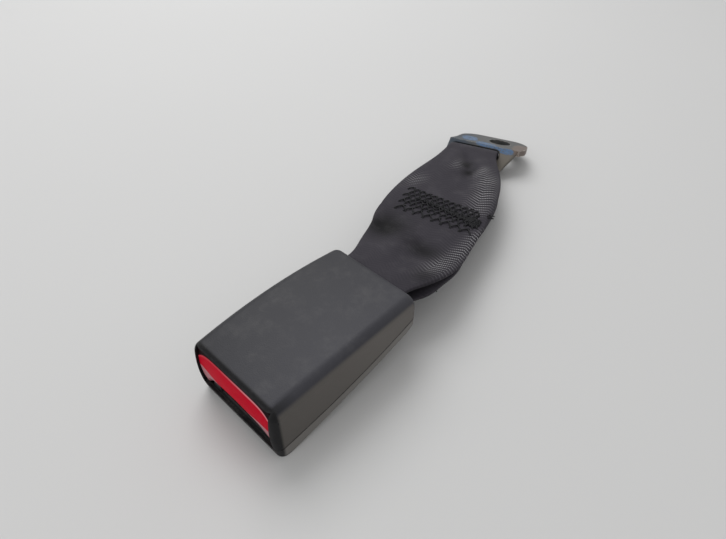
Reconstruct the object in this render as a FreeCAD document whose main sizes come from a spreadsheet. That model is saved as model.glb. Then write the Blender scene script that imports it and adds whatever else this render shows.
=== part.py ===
import FreeCAD, Part
import Sketcher
import math
import os

# Seat belt buckle on sewn webbing with a bolted anchor plate.
# Millimetres; X across the buckle, Y from the button end to the anchor, Z up.

os.makedirs("parts", exist_ok=True)
doc = FreeCAD.newDocument("SeatBeltBuckle")
V = FreeCAD.Vector

# Driving dimensions

values = [
    ("shift_x", 15.862, "frame origin to buckle centre line"),
    ("shift_y", -105.749, "frame origin to button face"),
    ("shift_z", -0.115, "frame origin to underside"),
    ("body_len", 66.0, "housing length"),
    ("side_room", 3.55, "space beside the frame, inside the housing"),
    ("front_in", 1.1, "how far each side draws in at the button"),
    ("rear_in", 1.5, "how far each side draws in at the webbing"),
    ("mid_y", 29.0, "where the housing is widest"),
    ("top_front", 24.7, "housing height at the button"),
    ("top_mid", 27.0, "housing height half way"),
    ("rear_over", 2.65, "top of the housing end over the upper webbing"),
    ("low_front", 0.3, "underside height at the button"),
    ("floor_gap", 0.42, "frame bend over the lower cover floor"),
    ("belly_up", 3.05, "sloping corner over the underside, at the frame bend"),
    ("belly_rise", 13.6, "rise of the sloping corner along the housing"),
    ("rear_under", 3.0, "lower webbing over the underside of the housing end"),
    ("lip", 1.3, "wall over the button"),
    ("wall", 1.8, "housing wall"),
    ("floor", 1.5, "lower cover floor"),
    ("edge_r", 4.4, "rounding of the long upper edges"),
    ("corner_r", 2.6, "rounding of the upright corners"),
    ("seam_up", 4.4, "height of the lower cover side at the button"),
    ("seam_mid", 6.6, "height of the lower cover side at the frame bend"),
    ("seam_rear", 2.5, "height of the lower cover side at the webbing"),
    ("seam_gap", 0.3, "open line between the covers"),
    ("run_gap", 0.3, "running clearance"),
    ("snug", 0.1, "seat clearance"),
    ("face_back", 0.6, "button set back from the rim"),
    ("press", 5.0, "button travel"),
    ("arch_in", 1.7, "button side beside the arch"),
    ("arch_foot", 4.6, "height of the arch ends"),
    ("arch_top", 11.6, "height of the arch crown"),
    ("arch_leg", 5.1, "width of each sloping arch end"),
    ("arch_hip", 10.5, "height of the arch at its bends"),
    ("plate", 2.5, "frame sheet thickness"),
    ("base_z", 5.2, "underside of the frame base, before the tilt"),
    ("mech_tilt", 6.5, "upward tilt of the frame and all it carries"),
    ("mech_z", 2.9, "underside of the frame front after the tilt"),
    ("frame_w", 33.0, "frame width over the side walls"),
    ("side_w", 2.0, "frame side wall thickness"),
    ("frame_y", 6.8, "front edge of the frame"),
    ("wall_y", 9.5, "front edge of the side walls"),
    ("wall_end", 39.5, "rear edge of the side walls"),
    ("wall_top", 22.5, "top of the side walls"),
    ("bend_y", 36.0, "where the base turns up"),
    ("rise_gap", 1.4, "end of the rise to the webbing slot"),
    ("tail_z", 15.0, "underside of the raised tail"),
    ("tail_side", 3.0, "tail beside the webbing slot"),
    ("rear_room", 3.6, "tail end to the housing end"),
    ("bar_len", 4.4, "tail bar behind the webbing slot"),
    ("slot_len", 4.6, "webbing slot opening"),
    ("slot_play", 0.5, "webbing slot beside the webbing"),
    ("pivot_y", 33.0, "latch pivot"),
    ("pivot_z", 17.0, "latch pivot height"),
    ("pivot_r", 1.5, "latch pivot pin radius"),
    ("pin_y", 20.5, "lock pin at rest"),
    ("pin_z", 20.2, "lock pin height"),
    ("pin_r", 1.2, "lock pin radius"),
    ("nose_y", 11.5, "front face of the latch nose"),
    ("nose_len", 3.8, "latch nose depth"),
    ("nose_half", 5.0, "half width of the latch nose"),
    ("nose_z", 12.0, "underside of the raised latch nose"),
    ("tongue_gap", 4.5, "space for the tongue blade"),
    ("eject_y", 11.0, "front of the ejector arms"),
    ("eject_len", 9.0, "ejector length"),
    ("eject_h", 2.8, "ejector height"),
    ("spring_in", 2.1, "button spring centre to the side wall"),
    ("spring_r", 1.2, "button spring mean radius"),
    ("web_w", 47.0, "webbing width"),
    ("web_t", 1.4, "webbing thickness"),
    ("web_tail_w", 29.0, "webbing width gathered in the frame"),
    ("web_eye_w", 23.6, "webbing width gathered in the anchor"),
    ("anchor_t", 3.0, "anchor plate thickness"),
    ("anchor_yaw", 20.6, "turn of the anchor plate"),
    ("anchor_x", -31.0, "anchor bend centre across"),
    ("web_run", 123.3, "webbing from the housing to the anchor bend"),
    ("anchor_z", 12.9, "anchor bend height"),
    ("eye_tilt", 39.0, "slope of the webbing eye"),
    ("bolt_tilt", 18.0, "slope of the bolt tab"),
    ("eye_len", 13.2, "length of the webbing eye"),
    ("tab_half", 18.0, "half width of the bolt tab"),
    ("bolt_r", 5.75, "bolt hole radius"),
    ("bolt_x", 3.0, "bolt hole beside the centre of the bolt tab"),
    ("bolt_y", 12.2, "bend to bolt hole"),
    ("tab_rim", 4.2, "bolt tab beyond the bolt hole"),
    ("fold", 1.5, "depth of the gathered folds of the webbing"),
]
sheet = doc.addObject("Spreadsheet::Sheet", "Dims")
for row, (alias, number, note) in enumerate(values, start=1):
    sheet.set("A%d" % row, note)
    sheet.set("B%d" % row, str(number))
    sheet.setAlias("B%d" % row, alias)
doc.recompute()


# A length that knows its number and its sheet expression

class Q:
    def __init__(self, number, text):
        self.n = float(number)
        self.s = text

    def __add__(self, o):
        o = q(o)
        return Q(self.n + o.n, "(%s + %s)" % (self.s, o.s))

    def __radd__(self, o):
        return q(o) + self

    def __sub__(self, o):
        o = q(o)
        return Q(self.n - o.n, "(%s - %s)" % (self.s, o.s))

    def __rsub__(self, o):
        return q(o) - self

    def __mul__(self, o):
        o = q(o)
        return Q(self.n * o.n, "(%s * %s)" % (self.s, o.s))

    def __rmul__(self, o):
        return q(o) * self

    def __truediv__(self, o):
        o = q(o)
        return Q(self.n / o.n, "(%s / %s)" % (self.s, o.s))

    def __neg__(self):
        return Q(-self.n, "(0 - %s)" % self.s)


def q(o):
    if isinstance(o, Q):
        return o
    return Q(o, "%.6g" % float(o))


class Dims:
    pass


d = Dims()
for alias, number, note in values:
    setattr(d, alias, Q(number, "Dims." + alias))


# Sizes that follow from the driving ones

mid_w = d.frame_w + 2 * (d.side_room + d.wall)
front_w = mid_w - 2 * d.front_in
rear_w = mid_w - 2 * d.rear_in
inner_half = rear_w / 2 - d.wall + 0.35
button_half = inner_half - d.run_gap
arch_half = button_half - d.arch_in
arch_bend = arch_half - d.arch_leg
tail_end = d.body_len - d.rear_room
slot_y = tail_end - d.bar_len - d.slot_len
rise_y = slot_y - d.rise_gap
slot_half = d.web_tail_w / 2 + d.slot_play
tail_w = 2 * (slot_half + d.tail_side)
spring_x = d.frame_w / 2 - d.side_w - d.spring_in
anchor_y = d.body_len + d.web_run


# Sketch helpers

def plane_of(body, role):
    for feature in body.Origin.OriginFeatures:
        if feature.Role == role:
            return feature


def new_body(name):
    body = doc.addObject("PartDesign::Body", name)
    body.Label = name
    return body


def new_sketch(body, name, role, offset=None):
    sk = body.newObject("Sketcher::SketchObject", name)
    sk.AttachmentSupport = [(plane_of(body, role), "")]
    sk.MapMode = "FlatFace"
    if offset is not None:
        lift = q(offset)
        sk.AttachmentOffset = FreeCAD.Placement(V(0, 0, lift.n), FreeCAD.Rotation())
        sk.setExpression("AttachmentOffset.Base.z", lift.s)
    return sk


def hold(sk, kind, geo, pos, value):
    value = q(value)
    if abs(value.n) < 1e-7 and kind != "Radius":
        join(sk, "PointOnObject", geo, pos, -2 if kind == "DistanceX" else -1)
        return
    index = sk.addConstraint(constraint_for(kind, geo, pos, value.n))
    sk.setExpression("Constraints[%d]" % index, value.s)


def constraint_for(kind, geo, pos, number):
    if kind == "Radius":
        return Sketcher.Constraint("Radius", geo, number)
    return Sketcher.Constraint(kind, -1, 1, geo, pos, number)


def join(sk, kind, *ids):
    sk.addConstraint(Sketcher.Constraint(kind, *ids))


def outline(sk, points, mids=None):
    # closed outline; mids gives a point on the arc for a curved side
    mids = mids or {}
    count = len(points)
    ids = []
    ends = []
    for i in range(count):
        a = points[i]
        b = points[(i + 1) % count]
        pa = V(q(a[0]).n, q(a[1]).n, 0)
        pb = V(q(b[0]).n, q(b[1]).n, 0)
        if i in mids:
            pm = V(q(mids[i][0]).n, q(mids[i][1]).n, 0)
            curve = Part.Arc(pa, pm, pb)
            geo = sk.addGeometry(curve, False)
            first = sk.getPoint(geo, 1)
            straight = (first - pa).Length < (first - pb).Length
            ends.append((1, 2) if straight else (2, 1))
        else:
            geo = sk.addGeometry(Part.LineSegment(pa, pb), False)
            ends.append((1, 2))
        ids.append(geo)
    for i in range(count):
        j = (i + 1) % count
        join(sk, "Coincident", ids[i], ends[i][1], ids[j], ends[j][0])
    for i in range(count):
        hold(sk, "DistanceX", ids[i], ends[i][0], points[i][0])
        hold(sk, "DistanceY", ids[i], ends[i][0], points[i][1])
    for i in sorted(mids):
        mx, my = mids[i]
        dot = sk.addGeometry(Part.Point(V(q(mx).n, q(my).n, 0)), True)
        hold(sk, "DistanceX", dot, 1, mx)
        hold(sk, "DistanceY", dot, 1, my)
        join(sk, "PointOnObject", dot, 1, ids[i])


def box_outline(sk, x_low, x_high, y_low, y_high):
    outline(sk, [(x_low, y_low), (x_high, y_low), (x_high, y_high), (x_low, y_high)])


def round_outline(sk, cx, cy, radius):
    geo = sk.addGeometry(Part.Circle(V(q(cx).n, q(cy).n, 0), V(0, 0, 1), q(radius).n), False)
    hold(sk, "DistanceX", geo, 3, cx)
    hold(sk, "DistanceY", geo, 3, cy)
    hold(sk, "Radius", geo, 0, radius)


def solid(body, kind, name, sk, length, both=False, back=False):
    feature = body.newObject(kind, name)
    feature.Profile = sk
    feature.Length = q(length).n
    feature.setExpression("Length", q(length).s)
    if both:
        feature.SideType = "Symmetric"
    if back:
        feature.Reversed = True
    return feature


def pad(body, name, sk, length, both=False, back=False):
    return solid(body, "PartDesign::Pad", name, sk, length, both, back)


def cut(body, name, sk, length, both=False, back=False):
    return solid(body, "PartDesign::Pocket", name, sk, length, both, back)


def soften(body, name, kind, size, test):
    # rounds or bevels the edges of the tip that pass the test
    doc.recompute()
    base = body.Tip
    names = []
    for i, edge in enumerate(base.Shape.Edges, start=1):
        if test(edge.BoundBox, edge):
            names.append("Edge%d" % i)
    if not names:
        return None
    feature = body.newObject("PartDesign::" + kind, name)
    feature.Base = (base, names)
    prop = "Radius" if kind == "Fillet" else "Size"
    setattr(feature, prop, q(size).n)
    feature.setExpression(prop, q(size).s)
    return feature


def cos_q(a):
    return Q(math.cos(math.radians(a.n)), "cos(%s * 1 deg)" % a.s)


def sin_q(a):
    return Q(math.sin(math.radians(a.n)), "sin(%s * 1 deg)" % a.s)


cos_m = cos_q(d.mech_tilt)
sin_m = sin_q(d.mech_tilt)


def from_mech(y, z):
    # where a point of the level mechanism drawing lies after the tilt
    run = q(y) - d.frame_y
    rise = q(z) - d.base_z
    return (d.frame_y + run * cos_m - rise * sin_m, d.mech_z + run * sin_m + rise * cos_m)


def place(obj, dx=0, dy=0, dz=0, mech=False):
    # a solid sits at the shift of the frame origin plus its own offset
    if mech:
        dy, dz = from_mech(dy, dz)
    where = (d.shift_x + dx, d.shift_y + dy, d.shift_z + dz)
    turn = obj.Placement.Rotation
    if mech:
        turn = FreeCAD.Rotation(V(1, 0, 0), d.mech_tilt.n)
    obj.Placement = FreeCAD.Placement(V(where[0].n, where[1].n, where[2].n), turn)
    obj.setExpression("Placement.Base.x", where[0].s)
    obj.setExpression("Placement.Base.y", where[1].s)
    obj.setExpression("Placement.Base.z", where[2].s)
    if mech:
        obj.setExpression("Placement.Rotation.Angle", "Dims.mech_tilt * 1 deg")


parts = []


def keep(obj):
    parts.append(obj)


# Housing end, fitted to the webbing round the frame's tail

web_over = d.tail_z + d.plate + 0.9 + 0.25 + d.web_t / 2
web_under = d.tail_z - 0.9 - 0.25 - d.web_t / 2
top_rear = from_mech(tail_end, web_over)[1] + d.rear_over
low_rear = from_mech(tail_end, web_under)[1] - d.rear_under
low_bend = from_mech(d.bend_y, d.base_z)[1] - d.floor - d.floor_gap

# Housing blank shared by the two covers

front_foot = (q(0.6), d.low_front)
front_bulge = (q(-0.8), d.low_front + 8.0)
front_head = (q(0.2), d.top_front)
far = d.body_len + 8.0


def housing_blank(body, tag):
    side = new_sketch(body, tag + "_side", "YZ_Plane")
    outline(
        side,
        [front_foot, front_head, (d.body_len, top_rear), (d.body_len, low_rear)],
        {
            0: front_bulge,
            1: (d.body_len / 2, d.top_mid),
            3: (d.bend_y, low_bend),
        },
    )
    pad(body, tag + "_block", side, mid_w + 4, both=True)
    for sign, word in ((1, "right"), (-1, "left")):
        plan = new_sketch(body, tag + "_plan_" + word, "XY_Plane")
        outline(
            plan,
            [
                (sign * front_w / 2, q(-4)),
                (sign * rear_w / 2, far),
                (sign * (mid_w / 2 + 6), far),
                (sign * (mid_w / 2 + 6), q(-4)),
            ],
            {0: (sign * mid_w / 2, d.mid_y)},
        )
        cut(body, tag + "_barrel_" + word, plan, q(90), both=True)
    n = (top_rear.n + low_rear.n) / 2
    length = d.body_len.n

    def long_top(bb, e):
        return bb.YLength > 0.8 * length and bb.ZMin > n and bb.XLength < 4

    def upright(bb, e):
        return bb.ZLength > 6 and bb.YLength < 3 and bb.XLength < 3

    soften(body, tag + "_edge_round", "Fillet", d.edge_r, long_top)
    soften(body, tag + "_corner_round", "Fillet", d.corner_r, upright)


def cavity(body, tag, front_y):
    room = new_sketch(body, tag + "_room", "YZ_Plane")
    back = d.body_len - d.wall
    outline(
        room,
        [
            (front_y, d.low_front + d.floor),
            (front_y, d.top_front - d.lip),
            (back, top_rear - d.wall),
            (back, low_rear + d.floor - 0.5),
        ],
        {
            1: (d.body_len / 2, d.top_mid - d.wall),
            3: (d.bend_y, low_bend + d.floor),
        },
    )
    cut(body, tag + "_hollow", room, 2 * inner_half, both=True)
    door = new_sketch(body, tag + "_door", "XY_Plane", low_rear + d.wall - 0.3)
    box_outline(door, -(slot_half + 1), slot_half + 1, d.body_len - 6, d.body_len + 6)
    cut(body, tag + "_webbing_door", door, top_rear - low_rear - 2 * d.wall + 0.2, back=True)


def seam_cut(body, tag, above):
    # takes away everything on one side of the line between the covers
    more = d.seam_gap if not above else q(0)
    up = d.seam_up + more
    up_rear = d.seam_rear + more
    reach = q(40) if above else q(-20)
    line = new_sketch(body, tag + "_seam", "YZ_Plane")
    start = (q(0.6), d.low_front + up)
    stop = (d.body_len, low_rear + up_rear)
    outline(
        line,
        [start, stop, (far, low_rear + up_rear + 1.5), (far, reach), (q(-6), reach),
         (q(-6), d.low_front + up)],
        {0: (d.bend_y, low_bend + d.seam_mid + more)},
    )
    cut(body, tag + "_part_line", line, q(90), both=True)


def turned_in_corner(body, word, sign):
    # takes away a sloping corner under one long side
    ends = []
    for name, y in (("front", q(-4)), ("rear", far)):
        z = low_bend + d.belly_up + d.belly_rise * (y - d.bend_y) / d.body_len
        edge = new_sketch(body, "corner_%s_%s" % (name, word), "XZ_Plane", -y)
        outline(edge, [(sign * (mid_w / 2 + 3), z + 3), (sign * (mid_w / 2 - 12), z - 12),
                       (sign * (mid_w / 2 + 3), z - 12)])
        ends.append(edge)
    feature = body.newObject("PartDesign::SubtractiveLoft", "corner_cut_" + word)
    feature.Profile = ends[0]
    feature.Sections = [ends[1]]
    feature.Ruled = True


# Upper cover

body = new_body("upper_cover")
housing_blank(body, "upper")
cavity(body, "upper", q(-6))
seam_cut(body, "upper", False)
place(body)
keep(body)

# Lower cover with two ribs under the frame

body = new_body("lower_cover")
housing_blank(body, "lower")
cavity(body, "lower", q(1.1))
seam_cut(body, "lower", True)
for sign, word in ((1, "right"), (-1, "left")):
    turned_in_corner(body, word, sign)
    rib = new_sketch(body, "rib_shape_" + word, "YZ_Plane", sign * 8.0)
    rib_end = d.bend_y - 4
    sunk = d.low_front + 0.6
    outline(
        rib,
        [(q(10), sunk), (q(10), from_mech(10, d.base_z)[1] - d.snug),
         (rib_end, from_mech(rib_end, d.base_z)[1] - d.snug), (rib_end, low_bend + 0.3)],
    )
    pad(body, "rib_" + word, rib, q(1.6), back=(sign < 0))
place(body)
keep(body)

# Arch between the button and the tongue guide

def arch_outline(sk, inset, floor_z):
    foot = (arch_half - 2 * inset, d.arch_foot - inset)
    hip = (arch_bend - inset / 2, d.arch_hip - inset)
    mid_x = (foot[0] + hip[0]) / 2 + 0.9
    mid_z = (foot[1] + hip[1]) / 2 + 0.6
    outline(
        sk,
        [(-foot[0], floor_z), (-foot[0], foot[1]), (-hip[0], hip[1]), hip, foot,
         (foot[0], floor_z)],
        {1: (-mid_x, mid_z), 2: (q(0), d.arch_top - inset), 3: (mid_x, mid_z)},
    )


# Release button: leaning face, arched lower edge, two legs that push the lock pin

body = new_body("release_button")
top_of_button = d.top_front - d.lip - d.run_gap
back = d.face_back
side = new_sketch(body, "button_side", "YZ_Plane")
outline(
    side,
    [
        (back + 0.5, d.arch_foot),
        (back + 0.2, top_of_button),
        (back + 2.6, top_of_button),
        (back + 2.6, d.arch_foot),
    ],
    {0: (back - 0.5, d.arch_foot + 6.0)},
)
pad(body, "button_block", side, 2 * button_half, both=True)
roof = new_sketch(body, "button_roof_plan", "XY_Plane", top_of_button - 1.6)
box_outline(roof, -(d.frame_w / 2 - 3), d.frame_w / 2 - 3, back + 2.2, back + 7.6)
pad(body, "button_roof", roof, q(1.6))
arch = new_sketch(body, "button_arch", "XZ_Plane")
arch_outline(arch, q(0), d.arch_foot - 3)
cut(body, "button_arch_cut", arch, q(60), both=True)
skin_back = back + 1.3
hollow = new_sketch(body, "button_hollow", "XZ_Plane", -skin_back)
box_outline(hollow, -(button_half - 3.6), button_half - 3.6, d.arch_hip - 1.5, top_of_button - 1.6)
cut(body, "button_lightening", hollow, q(20))
pin_at = from_mech(d.pin_y, d.pin_z)
leg_low = pin_at[1] - 2.2
leg_end = pin_at[0] - d.pin_r - d.snug
for sign, word in ((1, "right"), (-1, "left")):
    leg = new_sketch(body, "button_leg_plan_" + word, "XY_Plane", leg_low)
    leg_out = d.frame_w / 2 - d.side_w - 0.6
    box_outline(leg, sign * (leg_out - 3.4), sign * leg_out, back + 0.9, leg_end)
    pad(body, "button_leg_" + word, leg, q(4.6))
crown = d.arch_top.n


def arch_rim(bb, e):
    return bb.XLength > 3 and bb.ZLength > 1 and bb.ZMax < crown + 1 and bb.YMax < back.n + 0.9


soften(body, "button_bevel", "Chamfer", q(1.2), arch_rim)
place(body)
keep(body)

# Tongue guide under the arch, with a flared entry for the tongue blade

body = new_body("tongue_guide")
guide_back = d.frame_y - d.plate * sin_m - d.snug
guide_front = q(1.3)
tongue_z = d.base_z + d.plate
slot_floor = from_mech(4, tongue_z - 0.1)[1] - 0.2
face = new_sketch(body, "guide_face", "XZ_Plane", -guide_front)
arch_outline(face, q(0.7), d.low_front + d.floor + d.run_gap)
pad(body, "guide_block", face, guide_back - guide_front, back=True)
mouth = new_sketch(body, "guide_slot", "XZ_Plane")
tongue_half = arch_bend - 0.6
box_outline(mouth, -tongue_half, tongue_half, slot_floor, slot_floor + d.tongue_gap)
cut(body, "guide_slot_cut", mouth, q(60), both=True)


def mouth_rim(bb, e):
    return bb.XLength > tongue_half.n and bb.ZLength < 0.2 and bb.YMax < guide_front.n + 0.1 and \
        bb.ZMin > slot_floor.n - 0.2 and bb.ZMax < slot_floor.n + d.tongue_gap.n + 0.2


soften(body, "guide_flare", "Chamfer", q(0.5), mouth_rim)
place(body)
keep(body)

# Steel frame: base, side walls, raised tail with the webbing slot

body = new_body("frame_channel")
run = new_sketch(body, "frame_run", "YZ_Plane")
outline(
    run,
    [
        (d.frame_y, d.base_z),
        (d.frame_y, d.base_z + d.plate),
        (d.bend_y, d.base_z + d.plate),
        (rise_y, d.tail_z + d.plate),
        (tail_end, d.tail_z + d.plate),
        (tail_end, d.tail_z),
        (rise_y + 1.0, d.tail_z),
        (d.bend_y + 1.0, d.base_z),
    ],
)
pad(body, "frame_strip", run, d.frame_w, both=True)
tail = new_sketch(body, "tail_plan", "XY_Plane", d.tail_z)
box_outline(tail, -tail_w / 2, tail_w / 2, rise_y + 0.6, tail_end)
pad(body, "frame_tail", tail, d.plate)
wall = new_sketch(body, "side_wall_shape", "YZ_Plane")
outline(
    wall,
    [
        (d.wall_y, d.base_z),
        (d.wall_y, d.base_z + 8.4),
        (d.wall_y + 5.5, d.wall_top),
        (d.wall_end - 1.5, d.wall_top),
        (d.wall_end, d.wall_top - 1.5),
        (d.wall_end, d.pivot_z - 3),
        (d.bend_y, d.base_z + 5),
        (d.bend_y, d.base_z),
    ],
)
pad(body, "side_wall_block", wall, d.frame_w, both=True)
gap = new_sketch(body, "wall_gap", "YZ_Plane")
box_outline(gap, d.wall_y - 1, d.bend_y, tongue_z, d.wall_top + 2)
cut(body, "wall_gap_cut", gap, d.frame_w - 2 * d.side_w, both=True)
gap = new_sketch(body, "wall_gap_rear", "YZ_Plane")
box_outline(gap, d.bend_y - 1, d.wall_end + 1, d.pivot_z - 4.2, d.wall_top + 2)
cut(body, "wall_gap_rear_cut", gap, d.frame_w - 2 * d.side_w, both=True)
seat_y = d.bend_y + 0.4
for sign, word in ((1, "right"), (-1, "left")):
    ear = new_sketch(body, "spring_seat_plan_" + word, "XY_Plane", d.pin_z - 2.3)
    box_outline(ear, sign * (spring_x - 2.0), sign * (d.frame_w / 2 - 1), seat_y, seat_y + 1.6)
    pad(body, "spring_seat_" + word, ear, q(4.6))
stop = new_sketch(body, "ejector_stop_plan", "XY_Plane", d.base_z + 1)
box_outline(stop, -4.0, 4.0, d.bend_y - 1.3, d.bend_y + 1.5)
pad(body, "ejector_stop", stop, d.plate + 2.2)
window = new_sketch(body, "latch_window", "XY_Plane")
box_outline(window, -(d.nose_half + 1), d.nose_half + 1, d.nose_y - 0.9, d.nose_y + 6.4)
cut(body, "latch_window_cut", window, 2 * (d.base_z + d.plate + 1), both=True)
web = new_sketch(body, "webbing_slot", "XY_Plane")
box_outline(web, -slot_half, slot_half, slot_y, slot_y + d.slot_len)
cut(body, "webbing_slot_cut", web, q(80), both=True)
holes = new_sketch(body, "pivot_holes", "YZ_Plane")
round_outline(holes, d.pivot_y, d.pivot_z, d.pivot_r + 0.05)
cut(body, "pivot_hole_cut", holes, q(60), both=True)
track = new_sketch(body, "lock_pin_track", "YZ_Plane")
box_outline(track, d.pin_y - d.pin_r - 0.2, d.pin_y + d.press + d.pin_r + 0.3,
            d.pin_z - d.pin_r - 0.06, d.pin_z + d.pin_r + 0.06)
cut(body, "lock_pin_track_cut", track, q(60), both=True)
top_z = tongue_z + d.tongue_gap + 0.2
ports = new_sketch(body, "top_plate_ports", "YZ_Plane")
box_outline(ports, d.wall_y + 2.9, d.wall_y + 6.1, top_z - 0.05, top_z + 1.85)
cut(body, "top_plate_port_cut", ports, q(60), both=True)
place(body, mech=True)
keep(body)

# Top plate over the tongue, tabs through the side walls

body = new_body("frame_top_plate")
plan = new_sketch(body, "top_plate_plan", "XY_Plane", top_z)
half = d.frame_w / 2 - d.side_w - 0.05
tab_a = d.wall_y + 3
tab_b = d.wall_y + 6
open_half = d.nose_half + 1
sheet_rise = (top_z + 1.8 - d.base_z) * sin_m
front = d.frame_y + (skin_back + d.press * cos_m + d.run_gap - d.frame_y + sheet_rise) / cos_m
rear = d.nose_y + 6.1
outline(
    plan,
    [
        (-half, front), (half, front), (half, tab_a), (d.frame_w / 2 + 0.2, tab_a),
        (d.frame_w / 2 + 0.2, tab_b), (half, tab_b), (half, rear), (open_half, rear),
        (open_half, d.nose_y - 1), (-open_half, d.nose_y - 1), (-open_half, rear),
        (-half, rear), (-half, tab_b), (-(d.frame_w / 2 + 0.2), tab_b),
        (-(d.frame_w / 2 + 0.2), tab_a), (-half, tab_a),
    ],
)
pad(body, "top_plate_sheet", plan, q(1.8))
place(body, mech=True)
keep(body)

# Latch: nose, arm and two eyes on the pivot pin

body = new_body("latch")
arm = new_sketch(body, "latch_arm_side", "YZ_Plane")
arm_low = d.pivot_z - 1
arm_top = d.pivot_z + 1
outline(
    arm,
    [
        (d.nose_y, d.nose_z + 0.8), (d.nose_y, arm_top), (d.pivot_y - 3.4, arm_top),
        (d.pivot_y - 3.4, arm_low), (d.nose_y + d.nose_len + 1, arm_low),
        (d.nose_y + d.nose_len, arm_low - 1), (d.nose_y + d.nose_len, d.nose_z),
        (d.nose_y + 0.8, d.nose_z),
    ],
)
pad(body, "latch_arm", arm, 2 * d.nose_half, both=True)
wing = new_sketch(body, "latch_wing_plan", "XY_Plane", arm_low)
wing_half = d.frame_w / 2 - d.side_w - 4.6
box_outline(wing, -wing_half, wing_half, d.nose_y + 7.9, d.pivot_y - 3.4)
pad(body, "latch_wings", wing, q(2))
for sign, word in ((1, "right"), (-1, "left")):
    link = new_sketch(body, "latch_link_plan_" + word, "XY_Plane", arm_low)
    box_outline(link, sign * 6.0, sign * wing_half, d.pivot_y - 4.4, d.pivot_y)
    pad(body, "latch_link_" + word, link, q(2))
    ring = new_sketch(body, "latch_eye_" + word, "YZ_Plane", sign * 6.0)
    round_outline(ring, d.pivot_y, d.pivot_z, d.pivot_r + 1.2)
    pad(body, "latch_eye_pad_" + word, ring, wing_half - 6.0, back=(sign < 0))
eye = new_sketch(body, "latch_eye_hole", "YZ_Plane")
round_outline(eye, d.pivot_y, d.pivot_z, d.pivot_r + 0.05)
cut(body, "latch_eye_bore", eye, q(60), both=True)
place(body, mech=True)
keep(body)

# Plain pins

body = new_body("latch_pivot_pin")
end = new_sketch(body, "pivot_pin_end", "YZ_Plane")
round_outline(end, d.pivot_y, d.pivot_z, d.pivot_r)
pad(body, "pivot_pin_rod", end, d.frame_w + 2.0, both=True)
place(body, mech=True)
keep(body)

body = new_body("lock_pin")
end = new_sketch(body, "lock_pin_end", "YZ_Plane")
round_outline(end, d.pin_y, d.pin_z, d.pin_r)
pad(body, "lock_pin_rod", end, d.frame_w - 0.4, both=True)
place(body, mech=True)
keep(body)

# Spring clips on the pivot pin, outside the side walls

for sign, word in ((1, "right"), (-1, "left")):
    body = new_body("pivot_clip_" + word)
    ring = new_sketch(body, "clip_ring_" + word, "YZ_Plane", sign * (d.frame_w / 2 + 0.05))
    round_outline(ring, d.pivot_y, d.pivot_z, d.pivot_r + 1.3)
    pad(body, "clip_disc_" + word, ring, q(0.7), back=(sign < 0))
    bore = new_sketch(body, "clip_bore_" + word, "YZ_Plane")
    round_outline(bore, d.pivot_y, d.pivot_z, d.pivot_r + 0.02)
    cut(body, "clip_bore_cut_" + word, bore, q(60), both=True)
    mouth = new_sketch(body, "clip_mouth_" + word, "YZ_Plane")
    box_outline(mouth, d.pivot_y - 0.9, d.pivot_y + 0.9, d.pivot_z, d.pivot_z + 5)
    cut(body, "clip_mouth_cut_" + word, mouth, q(60), both=True)
    place(body, mech=True)
    keep(body)

# Lock slider carried by the lock pin

body = new_body("lock_slider")
slab_z = d.wall_top - 1.0
slab = new_sketch(body, "slider_plan", "XY_Plane", slab_z)
slider_half = wing_half - 0.3
box_outline(slab, -slider_half, slider_half, d.pin_y - 5.5, d.pin_y + 5.0)
pad(body, "slider_slab", slab, q(1.2))
for sign, word in ((1, "right"), (-1, "left")):
    ear = new_sketch(body, "slider_ear_plan_" + word, "XY_Plane", arm_top + 0.4)
    box_outline(ear, sign * (slider_half - 1.4), sign * slider_half, d.pin_y - 2.1, d.pin_y + 2.1)
    pad(body, "slider_ear_" + word, ear, slab_z - arm_top - 0.2)
bore = new_sketch(body, "slider_bore", "YZ_Plane")
round_outline(bore, d.pin_y, d.pin_z, d.pin_r + 0.02)
cut(body, "slider_bore_cut", bore, q(60), both=True)
place(body, mech=True)
keep(body)

# Ejector: two arms ahead of a cross bar

body = new_body("ejector")
plan = new_sketch(body, "ejector_plan", "XY_Plane", tongue_z + d.snug)
fork = d.nose_half + 1.4
wide = d.frame_w / 2 - d.side_w - 1.0
tip = d.eject_y
tail_y = d.eject_y + d.eject_len
outline(
    plan,
    [
        (-wide, tip), (-fork, tip), (-fork, tail_y - 2.6), (fork, tail_y - 2.6),
        (fork, tip), (wide, tip), (wide, tail_y), (-wide, tail_y),
    ],
)
pad(body, "ejector_sheet", plan, d.eject_h)
place(body, mech=True)
keep(body)

# Rear bar sleeve that protects the webbing

body = new_body("webbing_guard")
bar_y = slot_y + d.slot_len
shape = new_sketch(body, "guard_shape", "YZ_Plane")
box_outline(shape, bar_y - 0.9, tail_end + 0.9, d.tail_z - 0.9, d.tail_z + d.plate + 0.9)
pad(body, "guard_block", shape, 2 * (slot_half - 0.15), both=True)


def guard_edge(bb, e):
    return bb.XLength > 20


soften(body, "guard_round", "Fillet", q(0.8), guard_edge)
core = new_sketch(body, "guard_core", "YZ_Plane")
box_outline(core, bar_y - 0.03, tail_end + 0.03, d.tail_z - 0.03, d.tail_z + d.plate + 0.03)
cut(body, "guard_core_cut", core, q(80), both=True)
place(body, mech=True)
keep(body)


# Coil springs

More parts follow.
